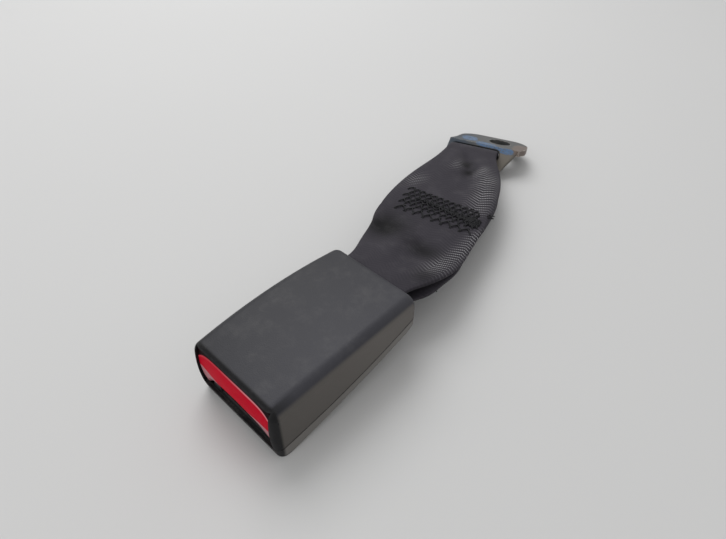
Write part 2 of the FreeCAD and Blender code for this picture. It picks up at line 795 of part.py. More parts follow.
def coil(name, axis, angle, length, mean_r, wire_r, turns, dx, dy, dz):
    # length runs over the wire ends; the coil starts at its own origin
    rise = length.n - 2 * wire_r
    ring = Part.Wire([Part.makeCircle(wire_r, V(mean_r.n, 0, 0), V(0, 1, 0))])
    helix = Part.Wire(Part.makeHelix(rise / turns, rise, mean_r.n))
    shape = helix.makePipeShell([ring], True, True)
    turn = FreeCAD.Placement(V(0, 0, 0), FreeCAD.Rotation(axis, angle))
    shape = shape.transformed(turn.toMatrix(), copy=True)
    obj = doc.addObject("Part::Feature", name)
    obj.Label = name
    obj.Shape = shape
    place(obj, dx, dy, dz, mech=True)
    keep(obj)


along = V(1, 0, 0)
front_of_coil = d.pin_y + d.pin_r + 0.05
length = seat_y - 0.05 - front_of_coil
for sign, word in ((-1, "left"), (1, "right")):
    coil("button_spring_" + word, along, -90, length, d.spring_r, 0.24, 8,
         sign * spring_x, front_of_coil + 0.24, d.pin_z)
front_of_coil = tail_y + 0.05
length = d.bend_y - 1.35 - front_of_coil
coil("ejector_spring", along, -90, length, q(1.2), 0.25, 9,
     q(0), front_of_coil + 0.25, tongue_z + 1.62)

# Torsion spring of the latch, wound round the pivot pin

coil("latch_spring", V(0, 1, 0), 90, q(9), d.pivot_r + 0.55, 0.35, 7,
     q(-4.15), d.pivot_y, d.pivot_z)

# Anchor plate: sloping webbing eye, bend, falling bolt tab

yaw = math.radians(d.anchor_yaw.n)


def from_anchor(x, y, z):
    return V(
        d.anchor_x.n + x * math.cos(yaw) - y * math.sin(yaw),
        anchor_y.n + x * math.sin(yaw) + y * math.cos(yaw),
        z,
    )


def tilted(shape, tilt):
    turned = shape.copy()
    turned.rotate(V(0, 0, 0), V(1, 0, 0), tilt)
    return turned


def flat_plate(points, thickness, corner):
    # plate with its top face at z 0 and its upright corners rounded
    wire = Part.makePolygon([V(x, y, 0) for x, y in points + points[:1]])
    block = Part.Face(wire).extrude(V(0, 0, -thickness))
    edges = []
    for edge in block.Edges:
        bb = edge.BoundBox
        if bb.ZLength > thickness * 0.9 and bb.YMin * corner > 0 and abs(bb.YMin) > 2:
            edges.append(edge)
    return block.makeFillet(abs(corner), edges)


eye_mid = -7.2
eye_half = d.web_eye_w.n / 2 + 0.9
eye_len = d.eye_len.n
tab_half = d.tab_half.n
thick = d.anchor_t.n
tab_len = (d.bolt_y + d.bolt_r + d.tab_rim).n
slot_high = 2.0
slot_low = eye_len - 5.6
bend_left = eye_mid - eye_half - 2.1
bend_right = eye_mid + eye_half + 9.9
eye = flat_plate(
    [(eye_mid - eye_half - 3.4, -eye_len), (eye_mid + eye_half + 2.6, -eye_len),
     (bend_right, 0), (bend_left, 0)],
    thick, -1.6)
slot = Part.makeBox(2 * eye_half, slot_low - slot_high, 20, V(eye_mid - eye_half, -slot_low, -10))
slot_edges = [e for e in slot.Edges if e.BoundBox.ZLength > 10]
slot = slot.makeFillet(2.0, slot_edges)
eye = eye.cut(slot)
bar_edges = []
for edge in eye.Edges:
    bb = edge.BoundBox
    if bb.XLength > eye_half and bb.ZLength < 0.01 and bb.YMax < -slot_low + 0.1 and bb.YLength < 0.01:
        bar_edges.append(edge)
eye = eye.makeFillet(0.3 * thick, bar_edges)
tab = flat_plate(
    [(bend_left, 0), (bend_right, 0), (tab_half, 6), (tab_half, tab_len),
     (-tab_half, tab_len), (-tab_half - 2, 6)],
    thick, 10.0)
hole = Part.makeCylinder(d.bolt_r.n, 20, V(d.bolt_x.n, d.bolt_y.n, -10))
tab = tab.cut(hole)
eye = tilted(eye, d.eye_tilt.n)
tab = tilted(tab, -d.bolt_tilt.n)
wedge = Part.makeCylinder(thick, bend_right - bend_left, V(bend_left, 0, 0), V(1, 0, 0))
lower = Part.makeBox(80, 10, 10, V(-40, -5, -10))
knee = wedge.common(lower)
left_of = Part.makeBox(80, 40, 40, V(-40, -40, -20))
left_of.rotate(V(0, 0, 0), V(1, 0, 0), d.eye_tilt.n)
right_of = Part.makeBox(80, 40, 40, V(-40, 0, -20))
right_of.rotate(V(0, 0, 0), V(1, 0, 0), -d.bolt_tilt.n)
knee = knee.cut(left_of).cut(right_of)
plate = eye.fuse(knee).fuse(tab).removeSplitter()
anchor = doc.addObject("Part::Feature", "anchor_plate")
anchor.Label = "anchor_plate"
plate.rotate(V(0, 0, 0), V(0, 0, 1), d.anchor_yaw.n)
anchor.Shape = plate
place(anchor, d.anchor_x, anchor_y, d.anchor_z)
keep(anchor)

# Webbing: one closed loop through the frame slot and the anchor eye

over_m = web_over.n
under_m = web_under.n
ahead = slot_y.n + d.slot_len.n - 0.9 - 0.25 - d.web_t.n / 2
bar_end = tail_end.n
over = from_mech(tail_end, over_m)[1].n
under = from_mech(tail_end, under_m)[1].n
behind = d.body_len.n
w_tail = d.web_tail_w.n
w_full = d.web_w.n
w_eye = d.web_eye_w.n
mid_y = behind + 42
key = []


def station(x, y, z, width):
    key.append((V(x, y, z), width))


def frame_station(y, z):
    y_at, z_at = from_mech(y, z)
    station(0, y_at.n, z_at.n, w_tail)


frame_station(ahead, (over_m + under_m) / 2)
frame_station(ahead, over_m - 1.3)
frame_station(ahead + 0.3, over_m - 0.3)
frame_station(ahead + 1.3, over_m)
frame_station(bar_end - 1.0, over_m)
over = over - 0.3
station(-0.2, behind + 2, over, w_tail + 0.4)
station(-1.5, behind + 13, over - 2.4, w_tail + 7.5)
station(-3.4, behind + 23, over - 4.6, w_full - 4.6)
station(-10.3, mid_y, over - 6.5, w_full)
station(-16.4, mid_y + 21, over - 7.2, w_full)
station(-21.3, mid_y + 38, over - 7.8, w_full - 4.5)
station(-27.4, mid_y + 55, over - 8.4, w_full - 14.0)
top_eye = from_anchor(eye_mid, -13, d.anchor_z.n + 0.9)
station(top_eye.x, top_eye.y, top_eye.z, w_eye + 2.6)
for y, z in ((-5.2, -0.2), (-2.9, -2.2), (-2.25, -5.17), (-3.74, -8.57), (-6.93, -11.15), (-11.6, -12.0)):
    p = from_anchor(eye_mid, y, d.anchor_z.n + z)
    station(p.x, p.y, p.z, w_eye)
p = from_anchor(eye_mid, -18, 1.6)
station(p.x, p.y, p.z, w_eye + 2.6)
station(-27.4, mid_y + 54, 4.4, w_full - 14.0)
station(-21.3, mid_y + 38, 9.4, w_full - 4.5)
station(-16.4, mid_y + 21, over - 8.9, w_full)
station(-10.3, mid_y, over - 6.5 - d.web_t.n - 0.15, w_full)
station(-3.4, behind + 23, under - 1.5, w_full - 4.6)
station(-1.5, behind + 13, under - 0.9, w_tail + 7.5)
station(-0.2, behind + 2, under, w_tail + 0.4)
frame_station(bar_end - 1.0, under_m)
frame_station(ahead + 1.3, under_m)
frame_station(ahead + 0.3, under_m + 0.3)
frame_station(ahead, under_m + 1.3)

# Gathered folds: across share, distance from the housing, slant, spreads, depth

folds = [
    (-0.75, 31, 0.0, 0.30, 9, -1.0),
    (0.22, 28, 0.0, 0.28, 9, -0.8),
    (-0.27, 26, 0.0, 0.26, 10, 0.5),
    (0.85, 20, 0.0, 0.30, 10, 0.5),
    (0.15, 96, -0.022, 0.24, 13, -0.9),
    (0.68, 88, -0.008, 0.28, 13, 1.0),
    (-0.40, 94, 0.0, 0.30, 13, 0.5),
]
shares = [-1, -0.66, -0.33, 0, 0.33, 0.66, 1]


def fold_at(y, u):
    gone = y - behind
    rise = 0
    for across, far_on, slant, wide, long, high in folds:
        du = (u - across - slant * (gone - far_on)) / wide
        dy = (gone - far_on) / long
        rise += high * math.exp(-du * du - dy * dy)
    start = min(1, max(0, (gone - 3) / 10))
    end = min(1, max(0, (d.web_run.n - 10 - gone) / 10))
    return d.fold.n * rise * start * end


path = Part.BSplineCurve()
path.interpolate(Points=[k[0] for k in key], PeriodicFlag=True)
marks = [path.parameter(k[0]) for k in key]
marks.append(path.LastParameter)
sections = []
for i in range(len(key)):
    span = (key[(i + 1) % len(key)][0] - key[i][0]).Length
    steps = max(1, min(6, int(span / 4.5)))
    for j in range(steps):
        f = j / steps
        t = marks[i] + (marks[i + 1] - marks[i]) * f
        ease = f * f * (3 - 2 * f)
        width = key[i][1] * (1 - ease) + key[(i + 1) % len(key)][1] * ease
        point = path.value(t)
        ahead_dir = path.tangent(t)[0]
        turn = yaw * min(1.0, max(0.0, (point.y - behind - 8) / (anchor_y.n - behind - 20)))
        across = V(math.cos(turn), math.sin(turn), 0)
        up = ahead_dir.cross(across)
        up.normalize()
        ring = []
        for side in (-1, 1):
            for u in (shares if side < 0 else shares[::-1]):
                at = point + across * (u * width / 2)
                lift = V(0, 0, fold_at(at.y, u) * abs(up.z))
                ring.append(at + up * (side * d.web_t.n / 2) + lift)
        sections.append(Part.makePolygon(ring + ring[:1]))
strap_shape = Part.makeLoft(sections, True, True, True)
strap = doc.addObject("Part::Feature", "webbing_strap")
strap.Label = "webbing_strap"
strap.Shape = strap_shape
place(strap)
keep(strap)

# Recompute, check and export

doc.recompute()
for obj in doc.Objects:
    if "Invalid" in obj.State or "Error" in obj.State:
        raise RuntimeError("not computed: %s %s" % (obj.Name, obj.State))
for obj in parts:
    shape = obj.Shape
    if shape.isNull() or not shape.isValid() or len(shape.Solids) != 1:
        raise RuntimeError("bad solid: %s %d" % (obj.Label, len(shape.Solids)))
    bb = shape.BoundBox
    print("%-24s vol %9.1f  x %7.2f %7.2f  y %7.2f %7.2f  z %6.2f %6.2f" % (
        obj.Label, shape.Volume, bb.XMin, bb.XMax, bb.YMin, bb.YMax, bb.ZMin, bb.ZMax))
    shape.exportStep("parts/%s.step" % obj.Label)
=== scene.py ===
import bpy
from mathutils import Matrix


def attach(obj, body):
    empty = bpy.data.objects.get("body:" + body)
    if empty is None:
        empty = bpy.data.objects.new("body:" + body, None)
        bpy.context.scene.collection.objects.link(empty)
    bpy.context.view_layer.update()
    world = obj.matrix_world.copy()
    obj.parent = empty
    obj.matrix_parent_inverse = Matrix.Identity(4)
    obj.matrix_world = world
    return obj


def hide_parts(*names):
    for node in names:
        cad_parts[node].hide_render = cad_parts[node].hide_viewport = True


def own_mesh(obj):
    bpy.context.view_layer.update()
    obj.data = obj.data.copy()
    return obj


bl_info = {
    "name": "Seat Belt Buckle",
    "version": (1, 0, 0),
    "blender": (4, 5, 0),
    "location": "View3D > Sidebar > Buckle",
    "description": "Finishes a seat belt buckle, its sewn webbing and its anchor plate",
    "category": "Object",
}

import math

import bpy
import numpy as np
from bpy.props import FloatProperty, FloatVectorProperty, IntProperty, PointerProperty
from mathutils import Matrix, Vector

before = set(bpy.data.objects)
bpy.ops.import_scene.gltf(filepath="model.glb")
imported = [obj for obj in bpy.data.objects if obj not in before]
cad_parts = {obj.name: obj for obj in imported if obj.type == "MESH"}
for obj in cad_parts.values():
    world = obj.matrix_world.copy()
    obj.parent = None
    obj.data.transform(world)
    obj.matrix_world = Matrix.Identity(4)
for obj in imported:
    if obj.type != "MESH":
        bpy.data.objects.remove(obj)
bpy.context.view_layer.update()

# Housing front, bottom centre, in the frame's millimetres
HOUSING_ORIGIN = (15.862, -105.749, -0.115)
# Tilt of the frame channel against the floor
CHANNEL_TILT = math.radians(6.5)
# Turn of the anchor plate about the upright, and the middle of its bend
ANCHOR_TURN = math.radians(20.6)
ANCHOR_BEND = (-31.0, 189.3, 12.9)

# The button's face, in metres: crown of the arch, start of the cover's shade, and half its width
ARCH_TOP = 0.0119
BUTTON_BROW = 0.0221
BUTTON_HALF = 0.0186


def metres(point):
    """A point drawn from the housing front, in millimetres, as a place in the frame."""
    return tuple((a + b) * 0.001 for a, b in zip(point, HOUSING_ORIGIN))


def colour(name, text, default):
    return FloatVectorProperty(
        name=name, description=text, default=default, subtype="COLOR", size=3, min=0.0, max=1.0)


def number(name, text, default, **more):
    return FloatProperty(name=name, description=text, default=default, **more)


def length(name, text, default):
    return number(name, text, default, subtype="DISTANCE", unit="LENGTH", min=0.0, precision=5)


def factor(name, text, default):
    return number(name, text, default, subtype="FACTOR", min=0.0, max=1.0)


def power(name, text, default):
    return number(name, text, default, subtype="POWER", unit="POWER", min=0.0)


def angle(name, text, degrees):
    return number(name, text, math.radians(degrees), subtype="ANGLE", unit="ROTATION")


# Settings

class BuckleFinish(bpy.types.PropertyGroup):
    cover: colour("Upper cover", "Moulded upper cover", (0.036, 0.036, 0.043))
    # Lower cover grey: partly its own, partly a painted reflection that lightens the strip seen at
    # a grazing angle
    lower: colour("Lower cover", "Moulded lower cover", (0.175, 0.165, 0.155))
    # Flank colour: a painted reflection of the floor on the cover's long sides
    flank_reflection: colour("Flank reflection", "Painted reflection of the floor on the upper cover's long sides", (0.098, 0.090, 0.083))
    button: colour("Button", "Release button", (0.56, 0.0, 0.018))
    bevel: colour("Bevel reflection", "Painted reflection on the bevel over the tongue slot", (0.42, 0.23, 0.25))
    guide: colour("Guide", "Tongue guide and webbing sleeve", (0.013, 0.014, 0.016))
    ejector: colour("Ejector", "Ejector plastic", (0.72, 0.70, 0.64))
    channel: colour("Channel steel", "Plated frame, latch and pins", (0.47, 0.46, 0.43))
    wire: colour("Spring wire", "Drawn spring wire", (0.36, 0.36, 0.37))
    anchor: colour("Anchor steel", "Plated anchor plate", (0.102, 0.103, 0.103))
    paint: colour("Paint marks", "Blue marks on the anchor plate", (0.070, 0.140, 0.260))
    rust: colour("Rust", "Tint at the far corner of the anchor plate", (0.22, 0.12, 0.07))
    cover_roughness: factor("Cover roughness", "Roughness of the upper cover", 0.5)
    wear: factor("Edge wear", "How far the moulded edges are rubbed", 0.22)
    dust: factor("Dust", "Dust on upward faces", 0.07)


class WebbingFinish(bpy.types.PropertyGroup):
    dark: colour("Weft", "Yarn in the hollows of the weave", (0.024, 0.0215, 0.028))
    light: colour("Warp", "Yarn on the ribs of the weave", (0.064, 0.059, 0.071))
    # Colour of the painted highlights on the rib crests
    shine: colour("Rib glints", "Painted highlight on the rib crests", (0.48, 0.47, 0.49))
    thread: colour("Thread", "Sewing thread", (0.006, 0.006, 0.007))
    thickness: length("Thickness", "Webbing thickness", 0.0014)
    rib_pitch: length("Rib pitch", "From rib to rib along the webbing", 0.00165)
    warp_pitch: length("Warp pitch", "From yarn to yarn across the webbing", 0.00078)
    fold_depth: length("Fold depth", "Depth of the gathered folds", 0.0020)
    step: length("Mesh step", "Mesh spacing along the webbing", 0.0010)


class StitchFinish(bpy.types.PropertyGroup):
    rows: IntProperty(name="Rows", description="Overlapping zigzag rows", default=5, min=1, max=12)
    pitch: length("Pitch", "Needle hole to needle hole along a row", 0.00150)
    swing: length("Swing", "Half the width of a zigzag", 0.00135)
    loop: length("Loop", "How far the thread runs back at each end of a zigzag", 0.00065)
    thread_radius: length("Thread radius", "Radius of the thread", 0.00031)
    arc: length("Slack", "Rise of the thread between needle holes", 0.00050)
    jitter: length("Jitter", "Uneven lay of the thread", 0.00038)
    seed: IntProperty(name="Seed", description="Seed of the uneven lay", default=7)


class StageSettings(bpy.types.PropertyGroup):
    floor: colour("Floor", "Colour of the floor", (0.62, 0.62, 0.617))
    sky: number("Surround", "Strength of the surround", 0.52, min=0.0)
    key: power("Key lamp", "Power of the key lamp", 6.0)
    fill: power("Fill lamp", "Power of the fill lamp", 2.0)
    distance: length("Camera distance", "From the lens to the aim point", 0.245)
    azimuth: angle("Azimuth", "Turn of the camera about the part", 43.9)
    elevation: angle("Elevation", "Height angle of the camera", 43.0)
    lens: number("Lens", "Focal length in millimetres", 27.77)


# Node helpers

def feed(tree, socket, value):
    """Links a socket to another one, or gives it a plain value; None leaves it as it is."""
    if isinstance(value, bpy.types.NodeSocket):
        tree.links.new(value, socket)
    elif value is not None:
        socket.default_value = value


def add(tree, kind, **settings):
    """Adds a node; a setting named after an attribute sets it, otherwise it feeds that input."""
    node = tree.nodes.new(kind)
    for name, value in settings.items():
        if hasattr(node, name):
            setattr(node, name, value)
        else:
            feed(tree, node.inputs[name.replace("_", " ")], value)
    return node


def wire(tree, source, target):
    tree.links.new(source, target)


def calc(tree, operation, *values):
    """A math node's result; a value is a socket or a plain number."""
    node = add(tree, "ShaderNodeMath", operation=operation)
    for socket, value in zip(node.inputs, values):
        feed(tree, socket, value)
    return node.outputs[0]


def times(tree, first, second):
    return calc(tree, "MULTIPLY", first, second)


def inverse(tree, value):
    return calc(tree, "SUBTRACT", 1.0, value)


def vector_node(tree, operation, first, second=None, scale=None):
    node = add(tree, "ShaderNodeVectorMath", operation=operation)
    for index, value in ((0, first), (1, second), (3, scale)):
        feed(tree, node.inputs[index], value)
    return node.outputs["Value" if operation == "DOT_PRODUCT" else "Vector"]


def axes(tree, vector):
    """The three numbers of a vector."""
    return add(tree, "ShaderNodeSeparateXYZ", Vector=vector).outputs


def facing(tree):
    """The three numbers of the surface's own direction."""
    return axes(tree, add(tree, "ShaderNodeNewGeometry").outputs["Normal"])


def ramp(tree, value, start, stop, low=0.0, high=1.0, kind="LINEAR"):
    """Goes from low to high as the value goes from start to stop."""
    node = add(tree, "ShaderNodeMapRange", interpolation_type=kind, Value=value,
               From_Min=start, From_Max=stop, To_Min=low, To_Max=high)
    return node.outputs["Result"]


def smooth_step(tree, value, start, stop):
    return ramp(tree, value, start, stop, kind="SMOOTHSTEP")


def varied(tree, share, low, high):
    return ramp(tree, share, 0.0, 1.0, low, high)


def ramp_grey(tree, value, start, stop, low, high):
    """A grey that goes from low to high."""
    level = ramp(tree, value, start, stop, low, high)
    return add(tree, "ShaderNodeCombineXYZ", X=level, Y=level, Z=level).outputs["Vector"]


def noise(tree, vector, scale, detail=3.0, roughness=0.5):
    return add(tree, "ShaderNodeTexNoise", Vector=vector, Scale=scale, Detail=detail,
               Roughness=roughness).outputs["Fac"]


def toned(base, by):
    """A colour made darker or lighter."""
    return tuple(min(1.0, c * by) for c in base)


def mix(tree, share, first, second, blend="MIX"):
    """Mixes two colours, each a socket or three plain numbers."""
    node = add(tree, "ShaderNodeMix", data_type="RGBA", blend_type=blend)
    plain = (float, bpy.types.NodeSocket)
    for index, value in ((0, share), (6, first), (7, second)):
        feed(tree, node.inputs[index], value if isinstance(value, plain) else (*value, 1.0))
    return node.outputs[2]


def housing_axes(tree, place):
    """Across, along and up from the housing front, in metres."""
    return axes(tree, vector_node(tree, "SUBTRACT", place, metres((0, 0, 0))))


# Shared effects

def new_group(kind, name, inputs, outputs):
    """A node group; a socket is its name and its kind, and may have a default."""
    tree = bpy.data.node_groups.new(name, kind)
    for way, sockets in (("INPUT", inputs), ("OUTPUT", outputs)):
        for label, holds, *default in sockets:
            socket = tree.interface.new_socket(label, in_out=way, socket_type="NodeSocket" + holds)
            for value in default:
                socket.default_value = value
    return tree, add(tree, "NodeGroupInput").outputs, add(tree, "NodeGroupOutput").inputs


def shader_group(name, control, *outputs):
    return new_group("ShaderNodeTree", name, [("Place", "Vector"), control],
                     [(label, "Float") for label in outputs])


def mould_grain():
    """Fine moulded grain: a height for bump, and a slow tint."""
    tree, gin, gout = shader_group("Mould grain", ("Cells", "Float", 2600.0), "Height", "Tint")
    cells = add(tree, "ShaderNodeTexVoronoi", feature="SMOOTH_F1", Vector=gin["Place"],
                Scale=gin["Cells"]).outputs["Distance"]
    fine = noise(tree, gin["Place"], 5200.0, 2.0)
    wire(tree, calc(tree, "MULTIPLY_ADD", fine, 0.4, cells), gout["Height"])
    wire(tree, noise(tree, gin["Place"], 48.0, 4.0, 0.6), gout["Tint"])
    return tree


def turned_edge(tree, radius):
    """How far the surface turns within the radius; for use inside a group."""
    soft = add(tree, "ShaderNodeBevel", samples=6, Radius=radius).outputs["Normal"]
    face = add(tree, "ShaderNodeNewGeometry").outputs["Normal"]
    return inverse(tree, vector_node(tree, "DOT_PRODUCT", soft, face))


def rubbed(tree, place):
    """Edges, broken up by noise."""
    broken = smooth_step(tree, noise(tree, place, 420.0, 5.0, 0.65), 0.38, 0.66)
    return times(tree, smooth_step(tree, turned_edge(tree, 0.0011), 0.02, 0.22), broken)


def painted_seam_line(tree, place):
    """Painted shade: the dark line along a seam or a rim, where the surface turns."""
    uneven = ramp(tree, noise(tree, place, 300.0, 3.0), 0.3, 0.6, 0.75, 1.0)
    return times(tree, smooth_step(tree, turned_edge(tree, 0.0008), 0.02, 0.14), uneven)


def dusty(tree, place):
    """Haze and small specks on upward faces."""
    haze = smooth_step(tree, noise(tree, place, 130.0, 5.0, 0.7), 0.45, 0.85)
    speck = smooth_step(tree, noise(tree, place, 1500.0, 2.0), 0.70, 0.78)
    lying = calc(tree, "MAXIMUM", haze, times(tree, speck, 0.8))
    return times(tree, smooth_step(tree, facing(tree)["Z"], 0.3, 0.95), lying)


def mask_group(name, mask):
    """A group that puts out a mask, times an amount."""
    tree, gin, gout = shader_group(name, ("Amount", "Float", 0.3), "Mask")
    wire(tree, times(tree, mask(tree, gin["Place"]), gin["Amount"]), gout["Mask"])
    return tree


def front_lip():
    """Mask of the cover rim round the button, where shade is painted; it fades out over the reach.
    """
    tree, gin, gout = shader_group("Front lip", ("Reach", "Float", 0.003), "Mask")
    behind = calc(tree, "DIVIDE", housing_axes(tree, gin["Place"])["Y"], gin["Reach"])
    wire(tree, inverse(tree, smooth_step(tree, behind, 0.5, 1.0)), gout["Mask"])
    return tree


def rolled_steel():
    """Rolling marks of sheet steel: a height for bump, and a slow tint."""
    tree, gin, gout = shader_group(
        "Rolled steel", ("Stretch", "Vector", (1.0, 0.06, 1.0)), "Height", "Tint")
    drawn = vector_node(tree, "MULTIPLY", gin["Place"], gin["Stretch"])
    wire(tree, noise(tree, drawn, 3200.0, 4.0, 0.6), gout["Height"])
    wire(tree, noise(tree, gin["Place"], 160.0, 5.0, 0.65), gout["Tint"])
    return tree


GROUPS = {}


def shared(name):
    """One of the shared effects, built the first time that it is asked for."""
    if name not in GROUPS:
        GROUPS[name] = {
            "grain": mould_grain, "lip": front_lip, "rolled": rolled_steel,
            "wear": lambda: mask_group("Edge wear", rubbed),
            "seam_shade": lambda: mask_group("Seam grime", painted_seam_line),
            "dust": lambda: mask_group("Settled dust", dusty),
        }[name]()
    return GROUPS[name]


def effect(tree, name, place, **values):
    node = add(tree, "ShaderNodeGroup", node_tree=shared(name))
    feed(tree, node.inputs["Place"], place)
    for label, value in values.items():
        node.inputs[label].default_value = value
    return node.outputs


def new_material(name, **plain):
    """A material with its shader, and its object coordinates; plain numbers go on the shader."""
    mat = bpy.data.materials.new(name)
    mat.use_nodes = True
    tree = mat.node_tree
    shader = tree.nodes["Principled BSDF"]
    for label, value in plain.items():
        shader.inputs[label.replace("_", " ")].default_value = value
    return mat, tree, shader, add(tree, "ShaderNodeTexCoord").outputs["Object"]


def surface(tree, shader, tint, rough, height, depth):
    """Wires what varies over a surface to its shader."""
    wire(tree, tint, shader.inputs["Base Color"])
    wire(tree, rough, shader.inputs["Roughness"])
    raised = add(tree, "ShaderNodeBump", Height=height, Strength=1.0, Distance=depth)
    wire(tree, raised.outputs["Normal"], shader.inputs["Normal"])


# Materials

def moulded(name, base, rough, cells, depth, wear, dust, lying_on=(0.36, 0.35, 0.33), tone=None,
            seam_shade=0.0, gloss=0.5):
    """Satin moulded plastic with grain, rubbed edges and a little dust."""
    mat, tree, shader, place = new_material(name, Specular_IOR_Level=gloss)
    grain = effect(tree, "grain", place, Cells=cells)
    lighter = tuple(min(1.0, c * 1.12 + 0.004) for c in base)
    tint = mix(tree, grain["Tint"], toned(base, 0.86), lighter)
    if tone:
        tint = tone(tree, place, tint)
    bare = tuple(min(1.0, c * 1.9 + 0.05) for c in base)
    # Laid over the tint: edge wear, dust, and painted shade along seams and turned edges
    for mask, amount, over in (("wear", wear, bare), ("dust", dust, lying_on),
                               ("seam_shade", seam_shade, (0.008, 0.008, 0.008))):
        if amount:
            tint = mix(tree, effect(tree, mask, place, Amount=amount)["Mask"], tint, over)
    surface(tree, shader, tint, varied(tree, grain["Tint"], rough - 0.06, rough + 0.06),
            grain["Height"], depth)
    return mat


def painted_lip_shade(tree, place, under, reach):
    """Painted shade: blackens the cover rim round the button."""
    lip = effect(tree, "lip", place, Reach=reach)["Mask"]
    return mix(tree, lip, under, (0.003, 0.003, 0.004))


def cover_tone(flank_reflection):
    """Painted reflection of the floor on the warmer flanks, painted shade on the rounded edge by
    the button, a painted sheen that lightens the right half, and painted shade on the black lip.
    """
    def tone(tree, place, under):
        across, along = housing_axes(tree, place)[:2]
        side = calc(tree, "ABSOLUTE", facing(tree)["X"])
        # Painted sheen: the top is darker on the left and lighter on the right
        painted_sheen = mix(tree, 1.0, under, ramp_grey(tree, across, -0.02, 0.02, 0.68, 1.22), "MULTIPLY")
        # Painted reflection on the flanks, lighter towards the back
        lit = mix(tree, 1.0, flank_reflection, ramp_grey(tree, along, 0.0, 0.045, 0.92, 1.26), "MULTIPLY")
        reflected_flanks = mix(tree, smooth_step(tree, side, 0.75, 0.97), painted_sheen, lit)
        # Painted shade on the rounded edge by the button, fading out towards the back
        edge = times(tree, smooth_step(tree, side, 0.20, 0.45),
                     inverse(tree, smooth_step(tree, side, 0.70, 0.95)))
        edge = times(tree, edge, ramp(tree, along, 0.001, 0.010, 0.90, 0.06))
        shaded = mix(tree, edge, reflected_flanks, (0.010, 0.010, 0.011))
        return painted_lip_shade(tree, place, shaded, 0.0028)
    return tone


# Painted shade on the lower cover's front rim round the button
def lower_tone(tree, place, under):
    return painted_lip_shade(tree, place, under, 0.0030)


def button_plastic(base, bevel):
    """Smooth red plastic with a painted reflection on the bevel along the arch, a painted highlight
    on the top edge and painted shade above the brow.
    """
    mat, tree, shader, place = new_material("button_red", Specular_IOR_Level=0.02)
    grain = effect(tree, "grain", place, Cells=5200.0)
    worn = effect(tree, "wear", place, Amount=0.35)["Mask"]
    axis = housing_axes(tree, place)
    across, up = axis["X"], axis["Z"]
    front = smooth_step(tree, times(tree, facing(tree)["Y"], -1.0), 0.25, 0.5)
    half = calc(tree, "ABSOLUTE", across)
    # Upper bound of the painted reflection on the bevel, on the left and on the right
    left = ramp(tree, half, 0.0085, 0.0175, ARCH_TOP, 0.0150)
    right = ramp(tree, half, 0.0030, 0.0125, ARCH_TOP, 0.0134)
    turn = smooth_step(tree, across, -0.002, 0.002)
    bound = calc(tree, "MULTIPLY_ADD", turn, calc(tree, "SUBTRACT", right, left), left)
    above = calc(tree, "SUBTRACT", up, bound)
    bevel_reflection = times(tree, inverse(tree, smooth_step(tree, above, -0.0003, 0.0003)), front)
    uneven_reflection = smooth_step(tree, noise(tree, place, 620.0, 4.0), 0.25, 0.6)
    bevel_reflection = times(tree, bevel_reflection, varied(tree, uneven_reflection, 0.72, 0.92))
    # The brow, where the painted shade under the cover's rim starts, falls off in the corners
    corner = calc(tree, "POWER", calc(tree, "DIVIDE", half, BUTTON_HALF), 7.0)
    brow = calc(tree, "MULTIPLY_ADD", corner, -0.0030, BUTTON_BROW)
    over = calc(tree, "SUBTRACT", up, brow)
    # Painted highlight along the top edge, stronger to the right
    rim = times(tree, smooth_step(tree, over, -0.0011, -0.0004), front)
    rim = times(tree, rim, ramp(tree, across, -0.008, 0.008, 0.12, 0.70))
    tint = mix(tree, grain["Tint"], toned(base, 0.9), base)
    # Laid over the red: edge wear, a painted highlight on the top edge, a painted reflection on the
    # bevel, and painted shade above the brow under the cover's rim
    for mask, laid in ((worn, (0.62, 0.10, 0.10)), (rim, (0.80, 0.34, 0.38)), (bevel_reflection, bevel),
                       (smooth_step(tree, over, -0.0001, 0.0003), (0.010, 0.002, 0.003))):
        tint = mix(tree, mask, tint, laid)
    surface(tree, shader, tint, varied(tree, grain["Tint"], 0.36, 0.48), grain["Height"], 0.000012)
    return mat


def plated_steel(name, base, rough, stretch):
    mat, tree, shader, place = new_material(name, Metallic=1.0)
    rolled = effect(tree, "rolled", place, Stretch=stretch)
    worn = effect(tree, "wear", place, Amount=0.6)["Mask"]
    tint = mix(tree, rolled["Tint"], toned(base, 0.8), base)
    surface(tree, shader, mix(tree, worn, tint, toned(base, 1.5)),
            varied(tree, rolled["Tint"], rough - 0.07, rough + 0.1), rolled["Height"], 0.00002)
    return mat


# Paint on the anchor plate, from the middle of its bend, in metres: place, half sizes, turn
PAINT_MARKS = (
    ((-0.0128, 0.0078), (0.0042, 0.0050), 0.25),
    ((-0.0026, 0.0016), (0.0056, 0.0030), -0.10),
    ((0.0075, -0.0010), (0.0052, 0.0014), -0.05),
)


def patch(tree, level, centre, size, angle, ragged):
    """Soft-edged patch in the anchor plate's own plane, broken by noise."""
    moved = add(tree, "ShaderNodeMapping", vector_type="TEXTURE", Vector=level,
                Location=(*centre, 0.0), Rotation=(0.0, 0.0, angle), Scale=(*size, 1.0))
    flat = axes(tree, moved.outputs["Vector"])
    wide, deep = (calc(tree, "POWER", calc(tree, "ABSOLUTE", flat[way]), 3.0) for way in "XY")
    reach = calc(tree, "ADD", calc(tree, "ADD", wide, deep),
                 calc(tree, "MULTIPLY_ADD", ragged, 1.6, -0.8))
    return inverse(tree, smooth_step(tree, reach, 0.75, 1.25))


